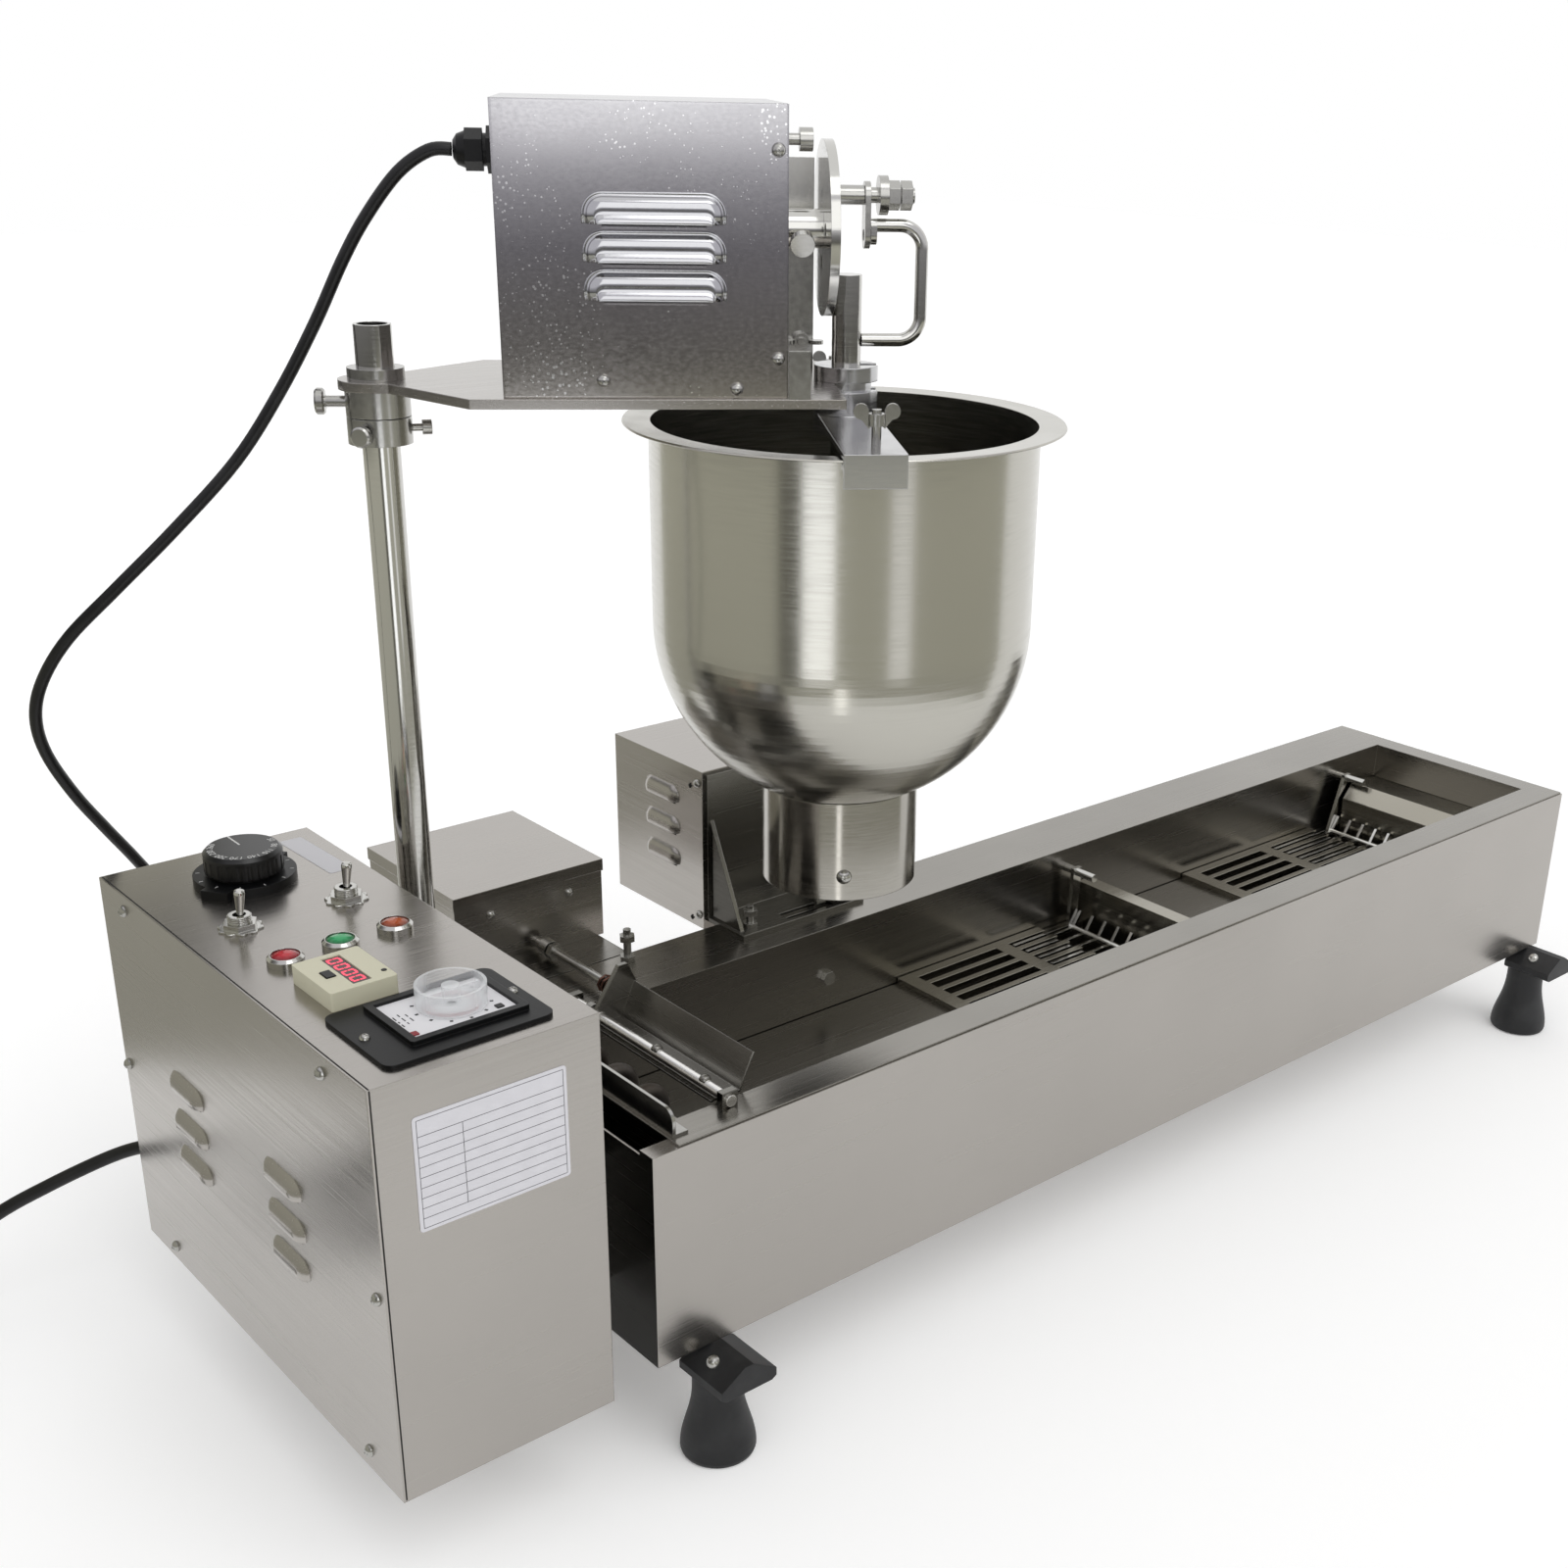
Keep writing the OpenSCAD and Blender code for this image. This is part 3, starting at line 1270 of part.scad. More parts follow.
// Turned neck round the spout, with the forming ring at its mouth
module hopper_neck() {
    wall = 3;
    ring_h = 6;
    color(bright) on_arm() translate([arm_len, 0, 0]) rotate_extrude($fn = 128)
        polygon([[die_r, neck_z], [neck_r, neck_z], [neck_r, bowl_floor_z - 0.3], [neck_r - wall, bowl_floor_z - 0.3],
            [neck_r - wall, neck_z + 22], [die_r + 3, neck_z + ring_h], [die_r, neck_z + ring_h]]);
}

// Disc on its hub and shaft, drilled for the crank bolt, with the hub's clamp screw
module crank_disc() {
    holes = 4;
    color(bright) on_arm() translate([0, 0, shaft_z]) {
        difference() {
            union() {
                rod_x([disc_s, 0, 0], disc_d, disc_t);
                rod_x([head_right + 0.6, 0, 0], 2 * hub_r, disc_s - head_right - 0.6);
            }
            rod_x([disc_s - 1, 0, crank_r], bolt_d, disc_t + 2);
            for (k = [1 : holes - 1]) rotate([90 * k, 0, 0])
                rod_x([disc_s - 1, 0, crank_r], bolt_d, disc_t + 2);
        }
        rod_x([head_right - 18, 0, 0], 14, 20);
        rotate([110, 0, 0]) translate([head_right + 12, 0, hub_r - 1]) {
            cylinder(d = 5, h = 8, $fn = fine);
            translate([0, 0, 8]) cylinder(d = 13, h = 4, $fn = fine);
        }
    }
}

// Crank bolt with its bush, white roller and lock nuts
module crank_bolt() {
    z = shaft_z + crank_r;
    nut = 6;
    color(bright) on_arm() {
        rod_x([disc_s, 0, z], bolt_d, bolt_end - disc_s);
        rod_x([disc_s + disc_t, 0, z], 2 * bush_r, bush_end - disc_s - disc_t);
        for (s = [0, nut + 0.6]) translate([bolt_end - 1.4 - 2 * nut - 0.6 + s, 0, z]) rotate([0, 90, 0]) hex_head(13, nut);
    }
    color("#e9e8e2") on_arm() rod_x([roller_s, 0, z], 20, 4.8);
}

module link_plate() {
    color(steel) on_arm() translate([link_s, 0, 0]) rotate([90, 0, 90]) linear_extrude(link_t) difference() {
        union() {
            translate([0, link_z]) circle(r = 7, $fn = fine);
            translate([0, link_z + link_len]) circle(r = 7, $fn = fine);
            translate([-7, link_z]) square([14, link_len]);
        }
        translate([0, link_z + link_len]) circle(r = bolt_d / 2 + run_fit, $fn = fine);
        translate([0, link_z]) circle(r = 3.1, $fn = fine);
    }
}

// Tube through the guide collar, down to the cone that opens and shuts the forming ring
module plunger_tube() {
    cone_z = neck_z + 4;
    color(bright) on_arm() translate([arm_len, 0, 0]) {
        translate([0, 0, cone_z]) cylinder(d = plunger_d, h = plunger_top - cone_z, $fn = 64);
        rotate_extrude($fn = 96) polygon([[0, neck_z], [die_r - disc_play, neck_z], [die_r - disc_play, neck_z + 3],
            [plunger_d / 2, neck_z + 24], [0, neck_z + 24]]);
    }
}

// D-shaped handle from the plunger tube up to the link's lug
module lift_handle() {
    s_out = arm_len + handle_reach;
    color(bright) on_arm() {
        rod_x([arm_len + plunger_d / 2, 0, handle_low_z], handle_d, handle_reach - plunger_d / 2 - handle_bend);
        translate([s_out - handle_bend, 0, handle_low_z + handle_bend]) rotate([90, 0, 0]) rotate([0, 0, -90])
            rotate_extrude(angle = 90, $fn = fine) translate([handle_bend, 0]) circle(d = handle_d, $fn = fine);
        rod_z([s_out, 0, handle_low_z + handle_bend], handle_d, handle_top_z - handle_low_z - 2 * handle_bend);
        translate([s_out - handle_bend, 0, handle_top_z - handle_bend]) rotate([90, 0, 0])
            rotate_extrude(angle = 90, $fn = fine) translate([handle_bend, 0]) circle(d = handle_d, $fn = fine);
        rod_x([lug_s, 0, handle_top_z], handle_d, s_out - handle_bend - lug_s);
        rod_x([lug_s, 0, link_z], 10, lug_t);
        block([lug_s, -5, link_z], [lug_s + lug_t, 5, handle_top_z]);
    }
}

cable_start = [col_x + (head_left - 22.6) * cos(arm_turn), col_y + (head_left - 22.6) * sin(arm_turn)];
cable_end = ctrl_d + gland_len;
// Route of the motor's cable, from the head's gland to the control box's back
cable_points = [
    [cable_start[0], cable_start[1], gland_z], [184, 221, 689], [171, 231, 678], [158, 244, 656],
    [148, 254, 634], [136, 266, 603], [118, 278, 567], [95, 290, 531], [62, 302, 496],
    [30, 312, 466], [5, 322, 441], [-9, 330, 418], [-14, 335, 397], [-10, 340, 374], [3, 345, 346],
    [19, 350, 320], [34, 355, 297], [46, 361, 277], [55, 364.5, 256], [61, 361, 242],
    [63, 353, 233.5], [63, 343, 229.3], [63, cable_end, cable_spot[2]]
];

module motor_cable() {
    color(black) place() tube(smooth(cable_points, 3), cable_d, 10);
}

coil_mid = [-188, 346];
coil_out = 58;
coil_turns = 2.5;
coil_step = 9;
coil_rise = 8.9;
coil_rings = 24;
tail = 34;

// Route of the power cord, from its relief to the start of the coil
cord_points = [
    [26, ctrl_d + relief_len, power_spot[2]], [25.3, 347, 105.6], [21.5, 357, 103.9], [14, 366, 100.6], [3, 373, 96.6],
    [-13, 378, 91.7], [-34, 383, 85], [-60, 390, 74.7], [-83, 397, 60.4], [-102, 401, 43.4],
    [-121, 404, 26.4], [-140, 405, 13], [-157, 404, 5.8], [-170, 404, 4.2], [coil_mid[0] + cord_d, 404, 4.2]
];

// Radius and height of the coil's centre line after a number of turns
function coil_r(n) = coil_out - coil_step * (coil_turns - abs(n - coil_turns));
function coil_z(n) = cord_d / 2 + coil_rise * min(max((n - coil_turns + 0.25) / 0.5, 0), 1);
coil_loops = [for (k = [0 : 2 * coil_turns * coil_rings]) let (n = k / coil_rings)
    [coil_mid[0] - coil_r(n) * sin(360 * n), coil_mid[1] + coil_r(n) * cos(360 * n), coil_z(n)]];
coil_route = concat(
    [[coil_mid[0] + cord_d, coil_mid[1] + coil_out, cord_d / 2]],
    coil_loops,
    [for (x = [tail / 2, tail]) [coil_mid[0] - x, coil_mid[1] + coil_out, cord_d / 2 + coil_rise]]
);
echo(cord_coil_least_gap = least_gap(coil_loops, cord_d, 12));

module power_cord() {
    color(black) place() tube(smooth(cord_points, 3), cord_d, 10);
}

module cord_coil() {
    color(black) place() tube(coil_route, cord_d, 6);
}

// Flat-bodied plug beside the coil, with two round pins
module power_plug() {
    last = coil_route[len(coil_route) - 1];
    body = [48, 38, 26];
    color(black) place() translate([last[0], last[1], 0]) {
        rotate([0, -90, 0]) translate([last[2], 0, 0]) {
            rotate_extrude($fn = fine) polygon([[0, 0], [cord_d / 2 + 1, 0], [9, 14], [0, 14]]);
            for (y = [-9.5, 9.5]) translate([0, y, body[0] + 12]) cylinder(d = 4.8, h = 19, $fn = fine);
        }
        translate([-12 - body[0], -body[1] / 2, last[2] - body[2] / 2]) linear_extrude(body[2])
            round_rect([body[0], body[1]], 7);
    }
}

casing();
oil_tank();
frying_tray();
grid_1();
grid_2();
divider();
end_chute();
heater_element();
heater_hanger();
bridge_bracket();
rubber_feet();
base_screws();
control_box();
control_side_cover();
thermostat_base();
thermostat_knob();
panel_bezels();
lamp_lenses();
toggle_lever_left();
toggle_lever_right();
counter_housing();
counter_button();
timer_frame();
timer_dial();
rear_glands();
column();
rear_brackets();
mid_drive_box();
small_drive_box();
drive_gearmotors();
fork_1();
fork_2();
fork_bar();
paddle();
paddle_cam();
paddle_spring();
stop_collar();
stop_screw();
arm_plate();
arm_collar();
arm_screw();
motor_box();
head_gearmotor();
head_screws();
cable_gland();
head_bracket();
hopper_collar();
wing_screw_front();
wing_screw_rear();
hopper();
hopper_neck();
crank_disc();
crank_bolt();
link_plate();
plunger_tube();
lift_handle();
motor_cable();
power_cord();
cord_coil();
power_plug();
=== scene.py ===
# %% [markdown]
# # An automatic ring doughnut fryer
# A long stainless tank fries rings of batter that fall from a hopper. Its shape comes from a
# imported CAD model, which stays as it is. This lesson adds what CAD leaves out: finishes, cords,
# printed faces and the small marks that make steel, rubber and plastic easy to tell apart.

# %% Load the model
import math

import bmesh
import bpy
from mathutils import Matrix, Vector


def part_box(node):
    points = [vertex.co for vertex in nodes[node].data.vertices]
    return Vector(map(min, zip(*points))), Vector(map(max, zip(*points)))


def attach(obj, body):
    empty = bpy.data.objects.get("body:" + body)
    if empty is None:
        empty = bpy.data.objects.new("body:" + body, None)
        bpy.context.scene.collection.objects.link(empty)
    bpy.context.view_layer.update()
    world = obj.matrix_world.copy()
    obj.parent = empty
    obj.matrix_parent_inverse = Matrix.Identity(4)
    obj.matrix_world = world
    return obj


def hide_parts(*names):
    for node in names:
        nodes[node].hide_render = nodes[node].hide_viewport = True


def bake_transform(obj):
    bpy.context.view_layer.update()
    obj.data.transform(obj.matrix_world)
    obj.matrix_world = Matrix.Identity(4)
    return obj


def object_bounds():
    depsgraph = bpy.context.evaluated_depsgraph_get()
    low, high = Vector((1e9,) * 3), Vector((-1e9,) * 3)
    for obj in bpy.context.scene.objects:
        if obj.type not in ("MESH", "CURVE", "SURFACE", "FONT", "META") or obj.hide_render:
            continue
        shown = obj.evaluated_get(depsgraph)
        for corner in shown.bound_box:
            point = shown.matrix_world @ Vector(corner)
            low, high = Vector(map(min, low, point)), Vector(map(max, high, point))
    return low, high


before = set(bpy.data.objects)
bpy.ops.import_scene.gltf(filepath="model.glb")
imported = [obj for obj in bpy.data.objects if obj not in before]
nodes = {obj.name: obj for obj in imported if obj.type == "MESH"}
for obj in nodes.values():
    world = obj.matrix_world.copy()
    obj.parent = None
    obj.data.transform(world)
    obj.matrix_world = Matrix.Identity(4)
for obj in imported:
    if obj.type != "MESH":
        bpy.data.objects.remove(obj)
cad_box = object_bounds()
print("the machine is", [round(b - a, 3) for a, b in zip(*cad_box)], "m")

# %% [markdown]
# The drawing was made from the control box's front left corner, in millimetres, so a helper that
# turns such a place into the model's metres keeps every later number easy to check against it.
# The arm has two directions of its own: s runs out along it from the column, t runs across it.

# %% Places on the machine and on its swinging arm
MIDDLE = Vector((524.95, 173.25, 0))
ARM_TURN = -math.asin(0.55)
COLUMN = Vector((155, 240, 0))


def at(x, y, z):
    return (Vector((x, y, z)) - MIDDLE) / 1000


def turned(s, t, z=0):
    return Vector((s * math.cos(ARM_TURN) - t * math.sin(ARM_TURN),
                   s * math.sin(ARM_TURN) + t * math.cos(ARM_TURN), z))


def on_arm(s, t, z):
    return at(*(COLUMN + turned(s, t, z)))


def placed(name, data):
    made = bpy.data.objects.new(name, data)
    bpy.context.scene.collection.objects.link(made)
    return made


print("the arm is turned by", round(math.degrees(ARM_TURN), 1), "degrees")

# %% [markdown]
# The camera stands in front of the machine's left end and looks down at 23 degrees. Its place
# and lens were worked out from straight edges of the machine whose real lengths are known, so a
# piece that is right in the model also lands on the right spot of the picture. Its place is
# written as where the box's corner is seen from it: across, up and ahead, in millimetres.

# %% The camera
AZIMUTH, ELEVATION, ROLL = math.radians(-41.88), math.radians(22.99), math.radians(1.41)
CORNER_ACROSS, CORNER_UP, CORNER_AHEAD = -238.27, -375.02, 977.10
FOCAL_PIXELS, IMAGE_PIXELS, SHIFT_PIXELS, SENSOR = 1953.98, 1600, 100, 36
ahead = Vector((-math.sin(AZIMUTH) * math.cos(ELEVATION),
                math.cos(AZIMUTH) * math.cos(ELEVATION), -math.sin(ELEVATION)))
level = Vector((math.cos(AZIMUTH), math.sin(AZIMUTH), 0))
above = level.cross(ahead)
side = level * math.cos(ROLL) + above * math.sin(ROLL)
top = above * math.cos(ROLL) - level * math.sin(ROLL)
eye = -(side * CORNER_ACROSS + top * CORNER_UP + ahead * CORNER_AHEAD)

camera = placed("camera", bpy.data.cameras.new("camera"))
camera.data.sensor_width = SENSOR
camera.data.lens = FOCAL_PIXELS / IMAGE_PIXELS * SENSOR
camera.data.shift_x = -SHIFT_PIXELS / IMAGE_PIXELS
camera.data.shift_y = SHIFT_PIXELS / IMAGE_PIXELS
camera.data.clip_end = 50
turn = Matrix((side, top, -ahead)).transposed().to_4x4()
camera.matrix_world = Matrix.Translation(at(*eye)) @ turn
bpy.context.scene.camera = camera
print("the camera stands at", [round(v) for v in eye], "mm")

# %% [markdown]
# ## Colours and nodes
# Screen colours are written as hex values, and the renderer works with linear light, so one
# function converts them. One more adds a shader node together with its settings and its wires.
# A shader reads places in metres, so the lengths inside a finish are in metres as well.


# %% Two helpers for every finish, and an empty material
def linear(code):
    values = [int(code[i:i + 2], 16) / 255 for i in (1, 3, 5)]
    return tuple(v / 12.92 if v <= 0.04045 else ((v + 0.055) / 1.055) ** 2.4 for v in values) + (1,)


def add(tree, kind, inputs=None, **settings):
    made = tree.nodes.new(kind)
    for name, value in settings.items():
        setattr(made, name, value)
    for name, value in (inputs or {}).items():
        if isinstance(value, bpy.types.NodeSocket):
            tree.links.new(value, made.inputs[name])
        else:
            made.inputs[name].default_value = value
    return made


def blank_material(name):
    made = bpy.data.materials.new(name)
    made.use_nodes = True
    made.node_tree.nodes.clear()
    where = add(made.node_tree, "ShaderNodeTexCoord").outputs
    return made, made.node_tree, where, where["Object"]


print("a screen's middle grey is", round(linear("#808080")[0], 3), "in linear light")

# %% [markdown]
# Nearly every finish asks for the same few nodes, such as a sum, a mix of two colours, noise and a
# small bump. Short names for them keep each recipe as long as its idea.


# %% Short names for common nodes
def calc(tree, kind, first, second=0.0, third=0.0):
    return add(tree, "ShaderNodeMath", {0: first, 1: second, 2: third}, operation=kind).outputs[0]


def mixed(tree, factor, one, two, way="MIX"):
    inputs = {0: factor, 6: one, 7: two}
    return add(tree, "ShaderNodeMix", inputs, data_type="RGBA", blend_type=way).outputs[2]


def parts(tree, vector):
    return add(tree, "ShaderNodeSeparateXYZ", {"Vector": vector}).outputs


def spread(tree, value, low, high, to_low=0.0, to_high=1.0):
    ends = {"From Min": low, "From Max": high, "To Min": to_low, "To Max": to_high}
    return add(tree, "ShaderNodeMapRange", {"Value": value, **ends}).outputs["Result"]


def noise(tree, place, scale, detail=2):
    inputs = {"Vector": place, "Scale": scale, "Detail": detail}
    return add(tree, "ShaderNodeTexNoise", inputs).outputs["Fac"]


def bumped(tree, height, strength, depth, **below):
    inputs = {"Height": height, "Strength": strength, "Distance": depth, **below}
    return add(tree, "ShaderNodeBump", inputs).outputs["Normal"]


def soft_edge(tree, radius):
    return add(tree, "ShaderNodeBevel", {"Radius": radius}, samples=4).outputs["Normal"]


def surface(tree, shader):
    add(tree, "ShaderNodeOutputMaterial", {"Surface": shader})


def principled(tree, inputs):
    surface(tree, add(tree, "ShaderNodeBsdfPrincipled", inputs).outputs["BSDF"])


# %% [markdown]
# ## Stainless steel
# The panels are rolled 304 stainless with a fine directional grind, about 0.2 mm between the
# scratches. At this size a real scratch is finer than a pixel, so the grain is drawn about 1 mm
# wide. It shows as a faint streak in roughness and as a tiny bump, never as painted lines. Soft
# clouds of a darker and a lighter tint, a decimetre across and less, stand for finger marks and are
# a painted reflection of the sheet's slight waves. The grind runs level along each wall of a
# sheet, also round its corners, and in rings on what turns.


# %% One recipe for ground metal, with its own tint and direction of grind
CLOUDS_PER_METRE, STREAK, END_ON = 9, 0.04, 0.8


def along_sheet(tree, where, scratch, along):
    facing = calc(tree, "ABSOLUTE", parts(tree, where["Normal"])["X"])
    end_on = calc(tree, "GREATER_THAN", facing, END_ON)
    xyz = parts(tree, where["Object"])
    x_scale = calc(tree, "MULTIPLY_ADD", end_on, scratch - along, along)
    y_scale = calc(tree, "MULTIPLY_ADD", end_on, along - scratch, scratch)
    return add(tree, "ShaderNodeCombineXYZ", {
        "X": calc(tree, "MULTIPLY", xyz["X"], x_scale),
        "Y": calc(tree, "MULTIPLY", xyz["Y"], y_scale),
        "Z": calc(tree, "MULTIPLY", xyz["Z"], scratch)}).outputs["Vector"]


def round_axis(tree, where, scratch, along):
    inputs = {"Vector": where["Object"], "Scale": (along, along, scratch)}
    return add(tree, "ShaderNodeMapping", inputs).outputs["Vector"]


def ground(name, tint, roughness, scratch=900, along=6, grind=along_sheet, clouds=0.06, relief=0.006,
           edge=0.0008, shade=None, dimples=None):
    made, tree, where, place = blank_material(name)
    grain = noise(tree, grind(tree, where, scratch, along), 1, 3)
    cloud = noise(tree, place, CLOUDS_PER_METRE, 4)
    # The clouds mix a darker and a lighter tint: finger marks, and a painted reflection of waves.
    dark = [c * (1 - clouds * 2) for c in linear(tint)[:3]] + [1]
    light = [min(1, c * (1 + clouds)) for c in linear(tint)[:3]] + [1]
    colour, height = mixed(tree, cloud, dark, light), grain
    if shade:
        colour = shade(tree, where, cloud, colour)
    if dimples:
        colour, height = dimples(tree, where, grain, colour)
    rough = spread(tree, grain, 0.3, 0.7, roughness - STREAK, roughness + STREAK)
    normal = bumped(tree, height, relief, 0.001, Normal=soft_edge(tree, edge))
    principled(tree, {"Base Color": colour, "Metallic": 1, "Roughness": rough, "Normal": normal})
    return made


# %% [markdown]
# Some pieces get painted light and shade. The tank is painted darker inside, below a wavy line, as
# its shade. The casing's left end stands in the shade of the control box, and so do the left sides
# of the brackets, so that shade is painted on them. The paddle's leaf has a darker tint as painted
# shade, while its rod gets a painted highlight. Each of these is a short function that ground()
# calls, so that the recipe itself stays one.


# %% Painted shade inside the tank and on the shaded end, and a painted highlight on the rod
# Paints shade inside the tank: darker below a wavy line under the flange.
def painted_shade_inside(tint, low=0.205, high=0.213, wave=0.012):
    def shade(tree, where, cloud, colour):
        height = parts(tree, where["Object"])["Z"]
        wavy = calc(tree, "MULTIPLY_ADD", cloud, wave, height)
        return mixed(tree, spread(tree, wavy, low, high, 1, 0), colour, linear(tint))
    return shade


# Paints shade on faces that look towards the machine's left end.
def painted_shade_end(tint):
    def shade(tree, where, cloud, colour):
        facing = parts(tree, where["Normal"])["X"]
        return mixed(tree, calc(tree, "LESS_THAN", facing, -END_ON), colour, linear(tint))
    return shade


def away_from(tree, place, **middle):
    xyz = parts(tree, place)
    steps = [calc(tree, "SUBTRACT", xyz[axis], value) for axis, value in middle.items()]
    squares = [calc(tree, "MULTIPLY", step, step) for step in steps]
    return calc(tree, "POWER", calc(tree, "ADD", *squares), 0.5), steps


# Paints a highlight along a rod, within a reach of its axis.
def painted_rod_highlight(tint, axis_x, axis_z, reach):
    def shade(tree, where, cloud, colour):
        away, _ = away_from(tree, where["Object"], X=axis_x, Z=axis_z)
        return mixed(tree, calc(tree, "LESS_THAN", away, reach), colour, linear(tint))
    return shade


# %% [markdown]
# The motor box is soft aluminium with a painted reflection over its height: paler at its foot and
# its top, darker half way up. It has patches of small dimples, each bumped and painted white as a
# glint. A colour ramp over the height paints the first. Round cells whose size follows a slow noise
# make the second: where the noise is low, a cell shrinks to nothing.


# %% Painted reflection over the height, and dimples with painted glints
DIMPLES_PER_METRE, PATCHES_PER_METRE, DIMPLE_GLINT, DIMPLE_DEPTH = 400, 26, 0.6, 3.0


def ramp(tree, value, stops):
    made = add(tree, "ShaderNodeValToRGB", {"Fac": value})
    elements = made.color_ramp.elements
    while len(elements) < len(stops):
        elements.new(0.5)
    for element, (where, tint) in zip(elements, stops):
        element.position = where
        element.color = linear(tint)
    return made.outputs["Color"]


# Paints light and shade over the height, multiplied into the colour.
def painted_light_by_height(*stops):
    low, high = stops[0][0], stops[-1][0]

    def shade(tree, where, cloud, colour):
        rise = spread(tree, parts(tree, where["Object"])["Z"], low, high)
        tints = ramp(tree, rise, [((height - low) / (high - low), tint) for height, tint in stops])
        return mixed(tree, 1.0, colour, tints, "MULTIPLY")
    return shade


# Bumps each dimple and paints it white as a glint.
def dimples_with_painted_glints(tree, where, grain, colour):
    place = where["Object"]
    cells = add(tree, "ShaderNodeTexVoronoi", {"Vector": place, "Scale": DIMPLES_PER_METRE})
    size = spread(tree, noise(tree, place, PATCHES_PER_METRE), 0.42, 0.75, 0.0, 0.34)
    spot = calc(tree, "LESS_THAN", cells.outputs["Distance"], size)
    strength = calc(tree, "MULTIPLY", spot, DIMPLE_GLINT)
    return (mixed(tree, strength, colour, linear("#ffffff")),
            calc(tree, "MULTIPLY_ADD", spot, DIMPLE_DEPTH, grain))


# %% [markdown]
# The sheets come first: clean panels, a tank painted darker inside as shade, heat-tinted grids,
# and brackets with a darker tint as painted shade.


# %% Finishes of the sheets
def give(names, material):
    for name in names:
        mesh = nodes[name].data
        mesh.materials.clear()
        mesh.materials.append(material)


PADDLE_ROD_X, PADDLE_ROD_Z, ROD_REACH = 222, 0.2111, 0.0038
panel_steel = ground("ground 304 stainless, panels", "#b1ada8", 0.24, clouds=0.04)
# The casing's left end gets painted shade.
casing_steel = ground("ground 304 stainless, casing", "#b1ada8", 0.24, clouds=0.04,
                      shade=painted_shade_end("#2a2926"))
# The tank's inside gets painted shade.
tank_steel = ground("ground 304 stainless, painted shade inside", "#9a9791", 0.24, clouds=0.10,
                    shade=painted_shade_inside("#928f89"))
inner_steel = ground("ground 304 stainless, heat tinted", "#aba79c", 0.22, clouds=0.10)
# A darker tint as painted shade, with more painted shade on left-facing sides.
shade_steel = ground("rolled stainless, darkened by painted shade", "#8e8c87", 0.24, clouds=0.08,
                     shade=painted_shade_end("#4f4d48"))
# The same darker tint as painted shade, and a painted highlight along the rod.
paddle_steel = ground("rolled stainless, oiled, with a bright rod", "#8e8c87", 0.24, clouds=0.08,
                      shade=painted_rod_highlight("#f2f1ee", at(PADDLE_ROD_X, 0, 0).x, PADDLE_ROD_Z, ROD_REACH))
# The motor box gets a painted reflection by height and painted glints on its dimples.
plain_alloy = ground("rolled aluminium, dimpled", "#bebdc0", 0.17, 700, 12, clouds=0.12, relief=0.004,
                     edge=0.0018, dimples=dimples_with_painted_glints,
                     shade=painted_light_by_height((0.576, "#fffaf0"), (0.648, "#d2d0d2"), (0.716, "#ffffff")))
give(["control_box", "control_side_cover", "mid_drive_box", "small_drive_box", "arm_plate"], panel_steel)
give(["casing"], casing_steel)
give(["oil_tank", "frying_tray"], tank_steel)
give(["grid_1", "grid_2", "divider", "end_chute"], inner_steel)
give(["rear_brackets", "bridge_bracket"], shade_steel)
give(["paddle"], paddle_steel)
give(["motor_box"], plain_alloy)
print("materials in the file so far:", len(bpy.data.materials))

# %% [markdown]
# The bowl is spun and the neck is rolled from tube, so both show rings round their axis. Shafts and
# handles are turned and polished. Fasteners are plated, and tumbled instead of ground, so their
# scratches are as short as they are wide.

# %% Finishes of turned, plated and pressed pieces
bowl_steel = ground("spun 304 stainless", "#bebcb4", 0.20, along=40, grind=round_axis, clouds=0.03,
                    edge=0.0006)
turned_steel = ground("turned stainless", "#c9c8c4", 0.13, 1200, 60, round_axis, clouds=0.03,
                      relief=0.003, edge=0.0004)
neck_steel = ground("rolled stainless tube", "#aaa7a0", 0.16, 1200, 60, round_axis, clouds=0.03)
plated_steel = ground("zinc-plated steel", "#b6b5b1", 0.22, 300, 300, clouds=0.10, relief=0.003,
                      edge=0.0004)
hood_alloy = ground("pressed bright aluminium", "#bcbcbf", 0.12, 700, 12, clouds=0.06, relief=0.002,
                    edge=0.0004)
clamp_alloy = ground("machined aluminium", "#c6c6c7", 0.20, 900, 120, round_axis, clouds=0.05,
                     relief=0.003)
give(["hopper"], bowl_steel)
give(["column", "crank_disc", "plunger_tube", "lift_handle", "fork_1", "fork_2", "panel_bezels",
      "toggle_lever_left", "toggle_lever_right"], turned_steel)
give(["hopper_neck"], neck_steel)
give(["heater_hanger", "base_screws", "fork_bar", "paddle_cam",
      "stop_collar", "stop_screw", "arm_collar", "arm_screw", "head_screws", "head_bracket",
      "wing_screw_front", "wing_screw_rear", "link_plate", "crank_bolt"], plated_steel)
give(["hopper_collar"], clamp_alloy)
print("materials in the file so far:", len(bpy.data.materials))

# %% [markdown]
# ## Plastics, rubber and the heater
# Moulded pieces take a soft, broad highlight and a very fine pebble from the mould's spark-eroded
# wall, about 0.3 mm from bump to bump. The noise has two finer layers, each half as wide, so its
# first layer is four pebbles wide. Rubber has less shine than plastic and a dusty bloom.


# %% Moulded and dipped finishes
DUST_PER_METRE, DUST_GREY = 60, 0.3


